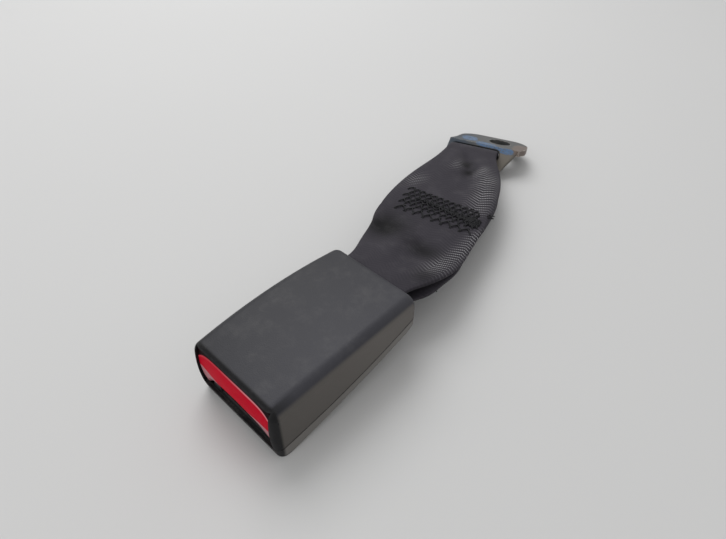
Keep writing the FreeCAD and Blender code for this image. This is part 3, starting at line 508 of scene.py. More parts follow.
def anchor_finish(base, paint, rust):
    """Plated steel with smears of blue paint along the bend, a rusty far corner and painted shade
    on the far side.
    """
    mat, tree, shader, place = new_material("anchor_steel_painted")
    level = add(tree, "ShaderNodeMapping", vector_type="TEXTURE", Vector=place,
                Location=metres(ANCHOR_BEND), Rotation=(0.0, 0.0, ANCHOR_TURN)).outputs["Vector"]
    across, along = axes(tree, level)[:2]
    rolled = effect(tree, "rolled", level, Stretch=(0.05, 1.0, 1.0))
    worn = effect(tree, "wear", place, Amount=0.75)["Mask"]
    ragged = noise(tree, place, 520.0, 5.0, 0.7)
    marks = None
    for centre, size, angle in PAINT_MARKS:
        mark = patch(tree, level, centre, size, angle, ragged)
        marks = mark if marks is None else calc(tree, "MAXIMUM", marks, mark)
    marks = times(tree, marks, smooth_step(tree, facing(tree)["Z"], 0.35, 0.7))
    marks = times(tree, marks, smooth_step(tree, noise(tree, place, 900.0, 5.0, 0.75), 0.38, 0.52))
    corner = patch(tree, level, (0.0160, 0.0060), (0.0050, 0.0080), 0.0, ragged)
    eye = smooth_step(tree, times(tree, along, -1.0), 0.001, 0.003)
    # Painted shade on the far side of the plate
    far_side_shade = times(tree, inverse(tree, smooth_step(tree, across, -0.016, -0.006)), 0.75)
    tint = mix(tree, rolled["Tint"], toned(base, 0.62), toned(base, 1.25))
    for mask, laid in ((eye, (0.165, 0.150, 0.130)), (far_side_shade, (0.045, 0.062, 0.085)),
                       (times(tree, corner, 0.35), rust), (worn, (0.62, 0.59, 0.53))):
        tint = mix(tree, mask, tint, laid)
    blue = mix(tree, noise(tree, place, 260.0, 4.0), toned(paint, 0.75), toned(paint, 1.25))
    bare = inverse(tree, calc(tree, "MAXIMUM", marks, times(tree, corner, 0.5)))
    wire(tree, times(tree, bare, 0.7), shader.inputs["Metallic"])
    surface(tree, shader, mix(tree, marks, tint, blue),
            varied(tree, rolled["Tint"], 0.34, 0.55),
            calc(tree, "MULTIPLY_ADD", marks, 2.0, rolled["Height"]), 0.00003)
    return mat


def weave(tree, cloth, rib_pitch, warp_pitch):
    """Ribbed twill: the pattern leans one way, then the other, in bands across the webbing."""
    across, along = axes(tree, cloth)[:2]
    wobble = times(tree, noise(tree, cloth, 90.0, 3.0), 0.0011)
    band = calc(tree, "PINGPONG", calc(tree, "ADD", across, 0.0015), 0.0058)
    lean = calc(tree, "ADD", along, times(tree, band, 0.42))
    turns = calc(tree, "DIVIDE", calc(tree, "ADD", lean, wobble), rib_pitch)
    rib = calc(tree, "SINE", times(tree, turns, math.tau))
    shift = times(tree, calc(tree, "FLOOR", turns), 0.5)
    strands = calc(tree, "ADD", calc(tree, "DIVIDE", across, warp_pitch), shift)
    yarn = calc(tree, "SINE", times(tree, strands, math.tau))
    rib, yarn = (calc(tree, "MULTIPLY_ADD", wave, 0.5, 0.5) for wave in (rib, yarn))
    return times(tree, rib, calc(tree, "MULTIPLY_ADD", yarn, 0.45, 0.55))


def woven(finish):
    """Ribbed polyester webbing, read from the strap's own cloth map."""
    mat, tree, shader, place = new_material(
        "webbing_weave", Specular_IOR_Level=0.12, Sheen_Weight=0.03, Sheen_Roughness=0.45)
    cloth = add(tree, "ShaderNodeUVMap", uv_map="cloth").outputs["UV"]
    cloth = vector_node(tree, "SCALE", cloth, scale=WEBBING_WIDTH * 0.001)
    rib = weave(tree, cloth, finish.rib_pitch, finish.warp_pitch)
    spread, hollow = (add(tree, "ShaderNodeAttribute", attribute_name=name).outputs["Fac"]
                      for name in ("spread_ribs", "hollow"))
    # Where the spread mask is high: painted highlights on the rib crests and painted shade in the
    # gaps between them
    glint_rib = times(tree, rib, varied(tree, spread, 0.20, 0.9))
    slow = noise(tree, place, 70.0, 4.0, 0.6)
    light = calc(tree, "MULTIPLY_ADD", slow, 0.45, times(tree, glint_rib, 0.8))
    gap_shade = times(tree, inverse(tree, rib), times(tree, spread, 0.85))
    shine = times(tree, calc(tree, "POWER", rib, 3.2), spread)
    dark = finish.dark
    tint = mix(tree, light, dark, finish.light)
    # Laid over the yarn: painted shade between the ribs, painted highlights on the crests, painted
    # shade in the fold hollows, and dust
    for mask, laid in ((gap_shade, toned(dark, 0.4)), (shine, finish.shine),
                       (times(tree, hollow, 0.95), toned(dark, 0.12)),
                       (effect(tree, "dust", place, Amount=0.10)["Mask"], (0.24, 0.23, 0.24))):
        tint = mix(tree, mask, tint, laid)
    relief = times(tree, rib, varied(tree, spread, 0.07, 1.7))
    height = calc(tree, "MULTIPLY_ADD", noise(tree, place, 6500.0, 2.0), 0.25, relief)
    surface(tree, shader, tint, varied(tree, glint_rib, 0.68, 0.48), height, 0.00016)
    return mat


def sewing_thread(base):
    mat, tree, shader, place = new_material("sewing_thread", Specular_IOR_Level=0.25)
    twist = add(tree, "ShaderNodeTexWave", Scale=900.0, Distortion=3.0, Vector=place).outputs["Fac"]
    surface(tree, shader, mix(tree, twist, base, toned(base, 3.0)),
            varied(tree, noise(tree, place, 900.0), 0.55, 0.75), twist, 0.00006)
    return mat


def dress(material, *nodes):
    """Gives solids of the frame their finish."""
    for node in nodes:
        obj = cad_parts[node]
        if not obj.data.materials:
            obj.data.materials.append(material)
        for slot in obj.material_slots:
            slot.material = material


# Webbing, drawn in millimetres from the housing front

WEBBING_WIDTH = 47.0
# Pivot of the channel's tilt in its level drawing, and the height at which it stands
CHANNEL_PIVOT = (6.8, 5.2)
CHANNEL_STAND = 2.9
# From the middle of the anchor's bend to the middle of its eye
EYE_SHIFT = 7.2
# Housing end, and where the folds near the anchor end beyond it
HOUSING_END = 66.0
FOLDS_END = 113.3
# The strip turns to the anchor's direction from here, over this run
TURN_START = 74.0
TURN_RUN = 103.3
CLOTH_COLUMNS = 44


def channel_point(run, rise):
    """A point of the level channel drawing, after the channel's tilt."""
    c, s = math.cos(CHANNEL_TILT), math.sin(CHANNEL_TILT)
    run, rise = run - CHANNEL_PIVOT[0], rise - CHANNEL_PIVOT[1]
    return CHANNEL_PIVOT[0] + run * c - rise * s, CHANNEL_STAND + run * s + rise * c


def anchor_point(along, height):
    """A point on the middle of the webbing eye, drawn from the anchor's bend."""
    c, s = math.cos(ANCHOR_TURN), math.sin(ANCHOR_TURN)
    return (ANCHOR_BEND[0] - EYE_SHIFT * c - along * s,
            ANCHOR_BEND[1] - EYE_SHIFT * s + along * c, height)


# Free part of the webbing: across and along, heights of the upper and the lower run, and width
FREE_PART = (
    (-0.2, 68, 22.95, 17.1, 29.4), (-1.5, 79, 20.55, 16.2, 36.5), (-3.4, 89, 18.35, 15.6, 42.4),
    (-10.3, 108, 16.45, 14.8, WEBBING_WIDTH), (-16.4, 129, 15.75, 14.05, WEBBING_WIDTH),
    (-21.3, 146, 15.15, 9.4, 42.5),
)


def webbing_stations():
    """Middle line and width of the closed loop."""
    in_channel, in_eye, at_eye = 29.0, 24.5, 26.2
    over, under, ahead, bar = 19.35, 13.15, 56.15, 62.4
    rows = [(0.0, *channel_point(run, rise), in_channel) for run, rise in (
        (ahead, 16.25), (ahead, over - 1.3), (ahead + 0.3, over - 0.3), (ahead + 1.3, over),
        (bar - 1.0, over))]
    rows += [(x, y, upper, width) for x, y, upper, lower, width in FREE_PART]
    rows += [(-27.4, 163, 14.55, 33), (*anchor_point(-13.0, 13.8), at_eye)]
    for along, drop in ((-5.2, -0.2), (-2.9, -2.2), (-2.25, -5.17), (-3.74, -8.57),
                        (-6.93, -11.15), (-11.6, -12.0)):
        rows.append((*anchor_point(along, ANCHOR_BEND[2] + drop), in_eye))
    rows += [(*anchor_point(-18.0, 1.6), at_eye), (-27.4, 162, 4.4, 33)]
    rows += [(x, y, lower, width) for x, y, upper, lower, width in reversed(FREE_PART)]
    rows += [(0.0, *channel_point(run, rise), in_channel) for run, rise in (
        (bar - 1.0, under), (ahead + 1.3, under), (ahead + 0.3, under + 0.3),
        (ahead, under + 1.3))]
    return np.array(rows, float)


def closed_spline(rows, step):
    """Rows and directions along a smooth closed line; a row is a place and the width there."""
    count = len(rows)
    gaps = np.linalg.norm((np.roll(rows, -1, axis=0) - rows)[:, :3], axis=1)
    before = np.roll(gaps, 1)
    matrix, right = np.zeros((count, count)), np.zeros(rows.shape)
    for i in range(count):
        j, k = (i - 1) % count, (i + 1) % count
        matrix[i, [j, i, k]] = gaps[i], 2 * (gaps[i] + before[i]), before[i]
        right[i] = 3 * (gaps[i] * (rows[i] - rows[j]) / before[i]
                        + before[i] * (rows[k] - rows[i]) / gaps[i])
    slopes = np.linalg.solve(matrix, right)
    places, ways = [], []
    for i in range(count):
        k = (i + 1) % count
        a, b, m, n = rows[i], rows[k], slopes[i] * gaps[i], slopes[k] * gaps[i]
        steps = max(2, int(round(gaps[i] / step)))
        for f in np.arange(steps) / steps:
            places.append((2 * f**3 - 3 * f**2 + 1) * a + (f**3 - 2 * f**2 + f) * m
                          + (3 * f**2 - 2 * f**3) * b + (f**3 - f**2) * n)
            ways.append((6 * f**2 - 6 * f) * (a - b) + (3 * f**2 - 4 * f + 1) * m
                        + (3 * f**2 - 2 * f) * n)
    ways = np.array(ways)[:, :3]
    return np.array(places), ways / np.linalg.norm(ways, axis=1)[:, None]


def hump(value, centre, spread):
    return np.exp(-((value - centre) / spread) ** 2)


# Gathered folds: across share, distance from the housing, slant, spreads, depth
FOLDS = (
    (-0.75, 31, 0.0, 0.30, 9, -1.0),
    (0.22, 28, 0.0, 0.28, 9, -0.8),
    (-0.27, 26, 0.0, 0.26, 10, 0.5),
    (0.85, 20, 0.0, 0.30, 10, 0.5),
    (0.15, 96, -0.022, 0.24, 13, -0.9),
    (0.68, 88, -0.008, 0.28, 13, 1.0),
    (-0.40, 94, 0.0, 0.30, 13, 0.5),
)


def fold_height(y, u, depth):
    """Rise of the cloth where it is gathered; y runs along the part, u from edge to edge."""
    gone = y - HOUSING_END
    rise = np.zeros_like(u)
    for across, far_on, slant, wide, long, high in FOLDS:
        du = (u - across - slant * (gone - far_on)) / wide
        dy = (gone - far_on) / long
        rise += high * np.exp(-du * du - dy * dy)
    start, end = (np.clip(room / 10, 0, 1) for room in (gone - 3, FOLDS_END - gone))
    return depth * rise * start * end


# Painted shade in the fold hollows, on the upper run: across and along from the housing front, two
# spreads, strength
FOLD_HOLLOW_SHADES = (
    (-19.5, 96.5, 7.0, 8.5, 1.0), (0.8, 95.0, 8.0, 5.0, 0.85), (-27.0, 97.0, 5.0, 11.0, 0.6),
    (-27.6, 163.5, 2.4, 4.0, 1.0), (-22.6, 158.0, 2.4, 4.5, 1.0), (12.5, 80.0, 4.0, 6.0, 0.6),
)
# Painted highlights on the rib crests, with painted shade between them, in the same columns
RIB_GLINTS = (
    (-29.5, 159.0, 2.6, 5.0, 0.7), (-17.0, 161.0, 3.4, 5.0, 0.9), (-9.5, 155.0, 4.6, 6.5, 1.0),
    (-4.0, 144.0, 4.6, 7.5, 1.0), (0.5, 134.5, 3.6, 5.5, 0.7), (12.0, 90.0, 4.2, 7.0, 0.9),
    (12.0, 104.0, 3.4, 9.0, 0.8), (10.5, 117.0, 2.6, 6.0, 0.7), (-36.0, 134.0, 3.6, 6.0, 0.6),
)


def spots(points, table):
    """Strength of the soft spots of a table at each point."""
    total = np.zeros(len(points))
    for x, y, wide, long, strength in table:
        spot = ((points[:, 0] - x) / wide) ** 2 + ((points[:, 1] - y) / long) ** 2
        total += strength * np.exp(-spot)
    return np.clip(total, 0.0, 1.0)


def webbing_mesh(finish):
    """The sewn loop as a closed band with round selvedges and a cloth map."""
    rows, ways = closed_spline(webbing_stations(), finish.step * 1000)
    places = rows[:, :3]
    thick = finish.thickness * 1000
    # One ring of the band: share across, and share of the thickness
    us = np.linspace(-1, 1, CLOTH_COLUMNS + 1)
    selvedge = np.array([0.30, 0.0, -0.30])
    ring_u = np.concatenate((us, np.ones(3), us[::-1], -np.ones(3)))
    ring_h = np.concatenate((np.full(len(us), 0.5), selvedge, np.full(len(us), -0.5), -selvedge))
    bulge = np.where(np.abs(ring_h) < 0.45, 0.30 - 0.9 * np.abs(ring_h), 0.0) * np.sign(ring_u)
    taper = np.where((np.abs(ring_u) > 0.94) & (np.abs(ring_h) > 0.45), 0.78, 1.0)
    ring = len(ring_u)
    verts, upper = [], []
    for place, width, way in zip(places, rows[:, 3], ways):
        turn = ANCHOR_TURN * min(1.0, max(0.0, (place[1] - TURN_START) / TURN_RUN))
        across = np.array([math.cos(turn), math.sin(turn), 0.0])
        out = np.cross(across, way)
        out /= np.linalg.norm(out)
        pos = (place + np.outer(ring_u * width / 2 + bulge, across)
               + np.outer(ring_h * thick * taper, out))
        lift = fold_height(pos[:, 1], ring_u, finish.fold_depth * 1000) * abs(out[2])
        # The folds don't sink below the floor
        pos[:, 2] += np.maximum(lift, min(0.0, thick / 2 + 0.15 - place[2]))
        if out[2] < 0:
            slip = -1.2 * hump(place[1], 106, 9) + 1.2 * hump(place[1], 77, 6)
            pos += across * slip * abs(out[2])
        verts.append(pos)
        upper.append(np.full(ring, out[2] > 0))
    verts = np.concatenate(verts)
    total = len(places)
    steps = np.linalg.norm(np.roll(places, -1, axis=0) - places, axis=1)
    alongs = np.concatenate(([0.0], np.cumsum(steps))) / WEBBING_WIDTH
    faces, uv = [], []
    for a in range(total):
        b = (a + 1) % total
        here, there = alongs[a], alongs[a + 1]
        for j in range(ring):
            k = (j + 1) % ring
            left, right = (ring_u[j] + 1) / 2, (ring_u[k] + 1) / 2
            faces.append((a * ring + j, a * ring + k, b * ring + k, b * ring + j))
            uv += [(left, here), (right, here), (right, there), (left, there)]
    mesh = bpy.data.meshes.new("webbing")
    mesh.from_pydata([metres(v) for v in verts], [], faces)
    mesh.uv_layers.new(name="cloth").data.foreach_set("uv", np.array(uv, np.float32).ravel())
    for name, table in (("hollow", FOLD_HOLLOW_SHADES), ("spread_ribs", RIB_GLINTS)):
        strength = (spots(verts, table) * np.concatenate(upper)).astype(np.float32)
        mesh.attributes.new(name, "FLOAT", "POINT").data.foreach_set("value", strength)
    mesh.polygons.foreach_set("use_smooth", [True] * len(mesh.polygons))
    mesh.update()
    return mesh


def link(obj):
    bpy.context.scene.collection.objects.link(obj)
    return obj


# Stitches, made by Geometry Nodes

def geometry_tree(name, *inputs):
    lines = ("Geometry", "Geometry")
    return new_group("GeometryNodeTree", name, [lines, *inputs], [lines])


def random_vector(tree, reach, seed):
    node = add(tree, "FunctionNodeRandomValue", data_type="FLOAT_VECTOR", Seed=seed)
    node.inputs[0].default_value = (-1.0, -1.0, -1.0)
    node.inputs[1].default_value = (1.0, 1.0, 1.0)
    return vector_node(tree, "SCALE", node.outputs[0], scale=reach)


def spaced(tree, curve, step):
    """A curve with a point at each step."""
    return add(tree, "GeometryNodeResampleCurve", mode="LENGTH", Curve=curve,
               Length=step).outputs["Curve"]


def guides(tree, lines, step):
    """Guide lines as curves with a point at each step."""
    return spaced(tree, add(tree, "GeometryNodeMeshToCurve", Mesh=lines).outputs["Curve"], step)


def moved_smooth(tree, curve, offset, kind):
    """A curve with its points moved, as a smooth curve of that kind."""
    moved = add(tree, "GeometryNodeSetPosition", Geometry=curve, Offset=offset)
    return add(tree, "GeometryNodeCurveSplineType", spline_type=kind,
               Curve=moved.outputs["Geometry"]).outputs["Curve"]


def thread_tube(tree, curve, gin, gout):
    """Gives a curve its thread, and ends the tree."""
    ring = add(tree, "GeometryNodeCurvePrimitiveCircle", Resolution=6, Radius=gin["Thread radius"])
    tube = add(tree, "GeometryNodeCurveToMesh", Fill_Caps=True, Curve=curve,
               Profile_Curve=ring.outputs["Curve"])
    shade = add(tree, "GeometryNodeSetShadeSmooth", Geometry=tube.outputs["Mesh"])
    real = add(tree, "GeometryNodeRealizeInstances", Geometry=shade.outputs["Geometry"])
    paint = add(tree, "GeometryNodeSetMaterial", Geometry=real.outputs["Geometry"],
                Material=gin["Material"])
    wire(tree, paint.outputs["Geometry"], gout["Geometry"])


def zigzag_tree():
    """Turns seam lines into thread that swings from side to side, with a loop at each end."""
    tree, gin, gout = geometry_tree(
        "Zigzag seam", ("Webbing", "Object"), ("Pitch", "Float"), ("Swing", "Float"),
        ("Loop", "Float"), ("Thread radius", "Float"), ("Slack", "Float"), ("Jitter", "Float"),
        ("Seed", "Int"), ("Material", "Material"))
    even = guides(tree, gin["Geometry"], times(tree, gin["Pitch"], 0.5))
    # Two needle holes on each side in turn; the second lies back from the first
    count = add(tree, "GeometryNodeSplineParameter").outputs["Index"]
    second_pair = calc(tree, "GREATER_THAN", calc(tree, "MODULO", count, 4.0), 1.5)
    way = calc(tree, "MULTIPLY_ADD", second_pair, 2.0, -1.0)
    back = calc(tree, "MULTIPLY_ADD", calc(tree, "MODULO", count, 2.0), -2.0, 1.0)
    tangent = add(tree, "GeometryNodeInputTangent").outputs["Tangent"]
    side = vector_node(tree, "CROSS_PRODUCT", (0.0, 0.0, 1.0), tangent)
    swing = vector_node(tree, "SCALE", side, scale=times(tree, way, gin["Swing"]))
    curl = vector_node(tree, "SCALE", tangent, scale=times(tree, back, gin["Loop"]))
    marked = add(tree, "GeometryNodeStoreNamedAttribute", data_type="FLOAT", domain="POINT",
                 Name="side", Geometry=even, Value=way)
    hole = vector_node(tree, "ADD", vector_node(tree, "ADD", swing, curl),
                       random_vector(tree, gin["Jitter"], gin["Seed"]))
    thread = moved_smooth(tree, marked.outputs["Geometry"], hole, "CATMULL_ROM")
    # Laid down on the webbing, with the slack half way between the sides
    target = add(tree, "GeometryNodeObjectInfo", transform_space="ORIGINAL", Object=gin["Webbing"])
    at = add(tree, "GeometryNodeInputPosition").outputs["Position"]
    ray = add(tree, "GeometryNodeRaycast", Target_Geometry=target.outputs["Geometry"],
              Source_Position=vector_node(tree, "ADD", at, (0.0, 0.0, 0.02)),
              Ray_Direction=(0.0, 0.0, -1.0), Ray_Length=0.04)
    share = add(tree, "GeometryNodeInputNamedAttribute", data_type="FLOAT",
                Name="side").outputs["Attribute"]
    rise = times(tree, inverse(tree, times(tree, share, share)), gin["Slack"])
    low = times(tree, gin["Thread radius"], 0.25)
    lift = add(tree, "ShaderNodeCombineXYZ", Z=calc(tree, "ADD", rise, low))
    laid = add(tree, "GeometryNodeSetPosition", Geometry=spaced(tree, thread, 0.00030),
               Selection=ray.outputs["Is Hit"], Position=ray.outputs["Hit Position"],
               Offset=lift.outputs["Vector"])
    thread_tube(tree, laid.outputs["Geometry"], gin, gout)
    return tree


def loose_thread_tree():
    """Turns guide lines into thin loose thread with uneven curls."""
    tree, gin, gout = geometry_tree(
        "Loose thread", ("Step", "Float"), ("Curl", "Float"), ("Thread radius", "Float"),
        ("Seed", "Int"), ("Material", "Material"))
    curl = random_vector(tree, gin["Curl"], gin["Seed"])
    even = guides(tree, gin["Geometry"], gin["Step"])
    thread_tube(tree, moved_smooth(tree, even, curl, "NURBS"), gin, gout)
    return tree


def settle(name, lines, tree, values):
    """Runs a tree on guide lines, and keeps the result as a plain mesh."""
    holder = link(bpy.data.objects.new(name + "_guide", line_mesh(name + "_lines", lines)))
    modifier = holder.modifiers.new("thread", "NODES")
    modifier.node_group = tree
    for item in tree.interface.items_tree:
        if item.in_out == "INPUT" and item.name in values:
            modifier[item.identifier] = values[item.name]
    bpy.context.view_layer.update()
    graph = bpy.context.evaluated_depsgraph_get()
    mesh = bpy.data.meshes.new_from_object(holder.evaluated_get(graph))
    bpy.data.objects.remove(holder)
    mesh.name = name
    if len(mesh.polygons) == 0:
        raise RuntimeError(name + " came out empty")
    return link(bpy.data.objects.new(name, mesh))


def line_mesh(name, lines):
    """Polylines, in millimetres from the housing front, as a mesh of edges."""
    verts, edges = [], []
    for points in lines:
        first = len(verts)
        verts += [metres(p) for p in points]
        edges += [(first + i, first + i + 1) for i in range(len(points) - 1)]
    mesh = bpy.data.meshes.new(name)
    mesh.from_pydata(verts, edges, [])
    return mesh


# Corners of the sewn field, and the height of its guide lines, in millimetres from the housing
FIELD = ((-33.6, 126.2), (4.2, 132.4), (-28.6, 109.4), (7.4, 116.6))
FIELD_HEIGHT = 17.0

# Loose thread ends: start, then the way that the end goes, in millimetres
THREAD_ENDS = (
    (5.2, 133.6, 16.6, 3.0, 0.9, 0.4), (5.4, 132.8, 16.6, 3.6, -0.4, 0.9),
    (5.8, 132.0, 16.5, 2.4, 1.6, 0.2), (5.3, 134.4, 16.5, 2.2, -1.2, 1.2),
    (5.9, 131.4, 16.5, 2.6, 1.2, 0.8), (13.5, 79.5, 17.0, 3.2, -1.0, -1.8),
    (14.6, 82.0, 17.2, 2.6, 0.8, -2.2), (12.6, 77.2, 17.2, 2.4, -0.6, -1.2),
)


def field_row(near, far, along, drift=0.0):
    """Nine points along a row of stitches, as shares across and along the sewn field."""
    rear_left, rear_right, front_left, front_right = np.array(FIELD, float)
    row = []
    for share in np.arange(9) / 8:
        across, down = near + (far - near) * share, along + drift * share
        rear = rear_left * (1 - across) + rear_right * across
        front = front_left * (1 - across) + front_right * across
        row.append((*(rear * (1 - down) + front * down), FIELD_HEIGHT))
    return row


# Springs: the joint that shortens each, its seat along the part, and its travel, in metres
SPRINGS = (
    ("button_spring_left", "button_press", -0.071287, 0.005),
    ("button_spring_right", "button_press", -0.071287, 0.005),
    ("ejector_spring", "ejector_slide", -0.071744, 0.009),
)


def wound(node):
    """Stands for a spring's solid with a copy of its mesh, carried by the buckle body."""
    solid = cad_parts[node]
    obj = link(bpy.data.objects.new(node + "_wound", solid.data.copy()))
    obj.matrix_world = solid.matrix_world
    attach(obj, "buckle_body")
    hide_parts(node)
    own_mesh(obj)


# What the camera and the lamps aim at, in millimetres from the housing front
AIM = (-22.4, 83.1, 0.0)
# Corners of the floor, and the lamps with their sizes and places, in metres
FLOOR = ((-4, -4, 0), (4, -4, 0), (4, 4, 0), (-4, 4, 0))
LAMPS = (("key", 0.7, (-0.55, 0.25, 0.85)), ("fill", 0.9, (0.15, -0.95, 0.45)))


# Operators

class BUCKLE_OT_covers(bpy.types.Operator):
    """Finish the two housing covers"""
    bl_idname = "buckle.covers"
    bl_label = "Housing Covers"

    def execute(self, context):
        finish = context.scene.buckle_finish
        dress(moulded("cover_charcoal", finish.cover, finish.cover_roughness, 2300.0, 0.000035,
                      finish.wear, finish.dust, tone=cover_tone(finish.flank_reflection), seam_shade=0.8,
                      gloss=0.22), "upper_cover")
        dress(moulded("cover_lower_grey", finish.lower, 0.52, 2600.0, 0.00003, finish.wear,
                      0.2, tone=lower_tone, seam_shade=0.9, gloss=0.3), "lower_cover")
        return {"FINISHED"}


class BUCKLE_OT_button(bpy.types.Operator):
    """Finish the release button, the tongue guide and the ejector"""
    bl_idname = "buckle.button"
    bl_label = "Button and Guide"

    def execute(self, context):
        finish = context.scene.buckle_finish
        dress(button_plastic(finish.button, finish.bevel), "release_button")
        dress(moulded("guide_black", finish.guide, 0.55, 2600.0, 0.00003, 0.4, 0.25),
              "tongue_guide", "webbing_guard")
        dress(moulded("ejector_natural", finish.ejector, 0.42, 3000.0, 0.00002, 0.1, 0.1,
                      (0.5, 0.48, 0.42)), "ejector")
        return {"FINISHED"}


class BUCKLE_OT_mechanism(bpy.types.Operator):
    """Finish the steel frame, the latch, the pins and the springs"""
    bl_idname = "buckle.mechanism"
    bl_label = "Mechanism"

    def execute(self, context):
        finish = context.scene.buckle_finish
        steel, wire_steel = finish.channel, finish.wire
        dress(plated_steel("channel_plated", steel, 0.36, (1.0, 0.05, 1.0)),
              "frame_channel", "frame_top_plate", "latch", "lock_slider")
        dress(plated_steel("pin_turned", steel, 0.28, (0.05, 1.0, 1.0)),
              "latch_pivot_pin", "lock_pin")
        dress(plated_steel("spring_drawn", wire_steel, 0.33, (1.0, 1.0, 0.1)),
              "button_spring_left", "button_spring_right", "ejector_spring", "latch_spring",
              "pivot_clip_left", "pivot_clip_right")
        for node, joint, seat, travel in SPRINGS:
            wound(node)
        return {"FINISHED"}


class BUCKLE_OT_anchor(bpy.types.Operator):
    """Finish the anchor plate with its paint marks"""
    bl_idname = "buckle.anchor"
    bl_label = "Anchor Plate"

    def execute(self, context):
        finish = context.scene.buckle_finish
        dress(anchor_finish(finish.anchor, finish.paint, finish.rust),
              "anchor_plate")
        return {"FINISHED"}


class BUCKLE_OT_webbing(bpy.types.Operator):
    """Weave the webbing loop with its gathered folds"""
    bl_idname = "buckle.webbing"
    bl_label = "Webbing"

    def execute(self, context):
        finish = context.scene.buckle_webbing
        obj = link(bpy.data.objects.new("webbing", webbing_mesh(finish)))
        obj.data.materials.append(woven(finish))
        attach(obj, "buckle_body")
        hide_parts("webbing_strap")
        return {"FINISHED"}


class BUCKLE_OT_stitches(bpy.types.Operator):
    """Sew the zigzag field, its dense end and its loose thread"""
    bl_idname = "buckle.stitches"
    bl_label = "Stitches"

    def execute(self, context):
        finish = context.scene.buckle_stitches
        material = sewing_thread(context.scene.buckle_webbing.thread)
        seam = zigzag_tree()
        values = {"Webbing": bpy.data.objects["webbing"], "Pitch": finish.pitch,
                  "Swing": finish.swing, "Loop": finish.loop, "Slack": finish.arc,
                  "Thread radius": finish.thread_radius, "Jitter": finish.jitter,
                  "Seed": finish.seed, "Material": material}
        rows = [field_row(0.04 * (i % 2), 0.97, 0.03 + 0.62 * i / max(1, finish.rows - 1))
                for i in range(finish.rows)]
        sewn = [settle("stitch_field", rows, seam, values)]
        # The front row has larger loops
        values.update({"Pitch": finish.pitch * 1.45, "Swing": finish.swing * 1.4,
                       "Loop": finish.loop * 1.5, "Jitter": finish.jitter * 0.7,
                       "Seed": finish.seed + 2})
        sewn.append(settle("stitch_front_row", [field_row(0.02, 0.99, 0.91)], seam, values))
        # Short dense rows at the right end, and four that run across the field
        tack = [field_row(0.89, 1.02, along) for along in (0.34, 0.40, 0.46, 0.52, 0.58, 0.64)]
        tack += [field_row(near, 0.95, along, 0.08)
                 for along, near in ((0.34, 0.30), (0.38, 0.20), (0.42, 0.45), (0.46, 0.62))]
        values.update({"Pitch": 0.00080, "Swing": 0.00062, "Loop": 0.00030,
                       "Seed": finish.seed + 4, "Slack": finish.arc * 1.2})
        sewn.append(settle("stitch_tack", tack, seam, values))
        ends = [[(x + dx * t, y + dy * t, z + dz * t - 0.6 * t * t) for t in (0, 0.35, 0.7, 1.0)]
                for x, y, z, dx, dy, dz in THREAD_ENDS]
        sewn.append(settle("loose_threads", ends, loose_thread_tree(), {
            "Step": 0.0008, "Curl": 0.00050, "Thread radius": 0.00024, "Seed": 3,
            "Material": material}))
        for obj in sewn:
            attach(obj, "buckle_body")
        return {"FINISHED"}


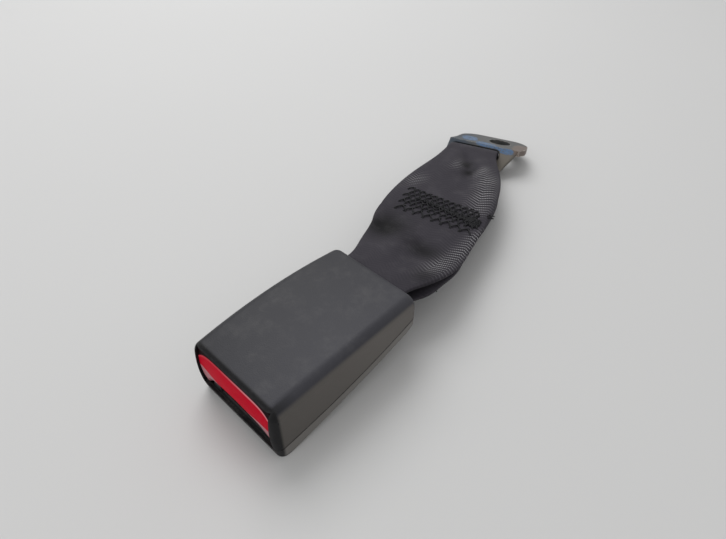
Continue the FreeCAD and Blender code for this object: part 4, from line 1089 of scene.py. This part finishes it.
class BUCKLE_OT_stage(bpy.types.Operator):
    """Set up the floor, the lamps and the camera"""
    bl_idname = "buckle.stage"
    bl_label = "Stage"

    def execute(self, context):
        look = context.scene.buckle_stage
        mesh = bpy.data.meshes.new("floor")
        mesh.from_pydata(FLOOR, [], [(0, 1, 2, 3)])
        mat, tree, shader, place = new_material("floor_pale", Roughness=0.75)
        wire(tree, mix(tree, noise(tree, place, 9.0), toned(look.floor, 0.985), look.floor),
             shader.inputs["Base Color"])
        mesh.materials.append(mat)
        link(bpy.data.objects.new("floor", mesh))
        # The surround lights the part, and is seen in the colour of the floor
        world = bpy.data.worlds.new("surround")
        world.use_nodes = True
        tree = world.node_tree
        light = tree.nodes["Background"]
        light.inputs["Color"].default_value = (1.0, 1.0, 1.0, 1.0)
        light.inputs["Strength"].default_value = look.sky
        seen = add(tree, "ShaderNodeBackground", Strength=1.0, Color=(*look.floor, 1.0))
        ray = add(tree, "ShaderNodeLightPath").outputs
        shown = calc(tree, "MAXIMUM", ray["Is Camera Ray"], ray["Is Glossy Ray"])
        shown = calc(tree, "MAXIMUM", shown, ray["Is Transmission Ray"])
        choice = add(tree, "ShaderNodeMixShader")
        for socket, source in zip(choice.inputs, (shown, light.outputs[0], seen.outputs[0])):
            wire(tree, source, socket)
        wire(tree, choice.outputs[0], tree.nodes["World Output"].inputs["Surface"])
        context.scene.world = world
        aim = Vector(metres(AIM))
        for name, size, spot in LAMPS:
            lamp = bpy.data.lights.new(name, "AREA")
            lamp.energy = getattr(look, name)
            lamp.size = size
            obj = link(bpy.data.objects.new(name, lamp))
            obj.location = spot
            obj.rotation_euler = (Vector(spot) - aim).to_track_quat("Z", "Y").to_euler()
        az, el = look.azimuth, look.elevation
        right = Vector((math.cos(az), math.sin(az), 0.0))
        back = Vector((math.sin(az) * math.cos(el), -math.cos(az) * math.cos(el), math.sin(el)))
        camera = bpy.data.cameras.new("camera")
        camera.lens = look.lens
        camera.sensor_width = 36.0
        camera.clip_start = 0.01
        obj = link(bpy.data.objects.new("camera", camera))
        turn = Matrix((right, back.cross(right), back)).transposed().to_4x4()
        obj.matrix_world = Matrix.Translation(aim + back * look.distance) @ turn
        context.scene.camera = obj
        context.scene.view_settings.view_transform = "Standard"
        return {"FINISHED"}


OPERATORS = (BUCKLE_OT_covers, BUCKLE_OT_button, BUCKLE_OT_mechanism, BUCKLE_OT_anchor,
             BUCKLE_OT_webbing, BUCKLE_OT_stitches, BUCKLE_OT_stage)
SETTINGS = (("buckle_finish", BuckleFinish), ("buckle_webbing", WebbingFinish),
            ("buckle_stitches", StitchFinish), ("buckle_stage", StageSettings))


class BUCKLE_PT_panel(bpy.types.Panel):
    """Sizes, colours and steps of the seat belt buckle"""
    bl_idname = "BUCKLE_PT_panel"
    bl_label = "Seat Belt Buckle"
    bl_space_type = "VIEW_3D"
    bl_region_type = "UI"
    bl_category = "Buckle"

    def draw(self, context):
        column = self.layout.column(align=True)
        for operator in OPERATORS:
            column.operator(operator.bl_idname)
        for name, kind in SETTINGS:
            box = self.layout.box()
            for key in kind.__annotations__:
                box.prop(getattr(context.scene, name), key)


def register():
    for name, kind in SETTINGS:
        bpy.utils.register_class(kind)
        setattr(bpy.types.Scene, name, PointerProperty(type=kind))
    for operator in OPERATORS:
        bpy.utils.register_class(operator)
    bpy.utils.register_class(BUCKLE_PT_panel)


def unregister():
    bpy.utils.unregister_class(BUCKLE_PT_panel)
    for operator in reversed(OPERATORS):
        bpy.utils.unregister_class(operator)
    for name, kind in reversed(SETTINGS):
        delattr(bpy.types.Scene, name)
        bpy.utils.unregister_class(kind)


def plain(box):
    return [[float(v) for v in corner] for corner in box]


def main():
    register()
    for step in ("covers", "button", "mechanism", "anchor", "webbing", "stitches", "stage"):
        if getattr(bpy.ops.buckle, step)() != {"FINISHED"}:
            raise RuntimeError("step not finished: " + step)


if __name__ == "__main__":
    main()
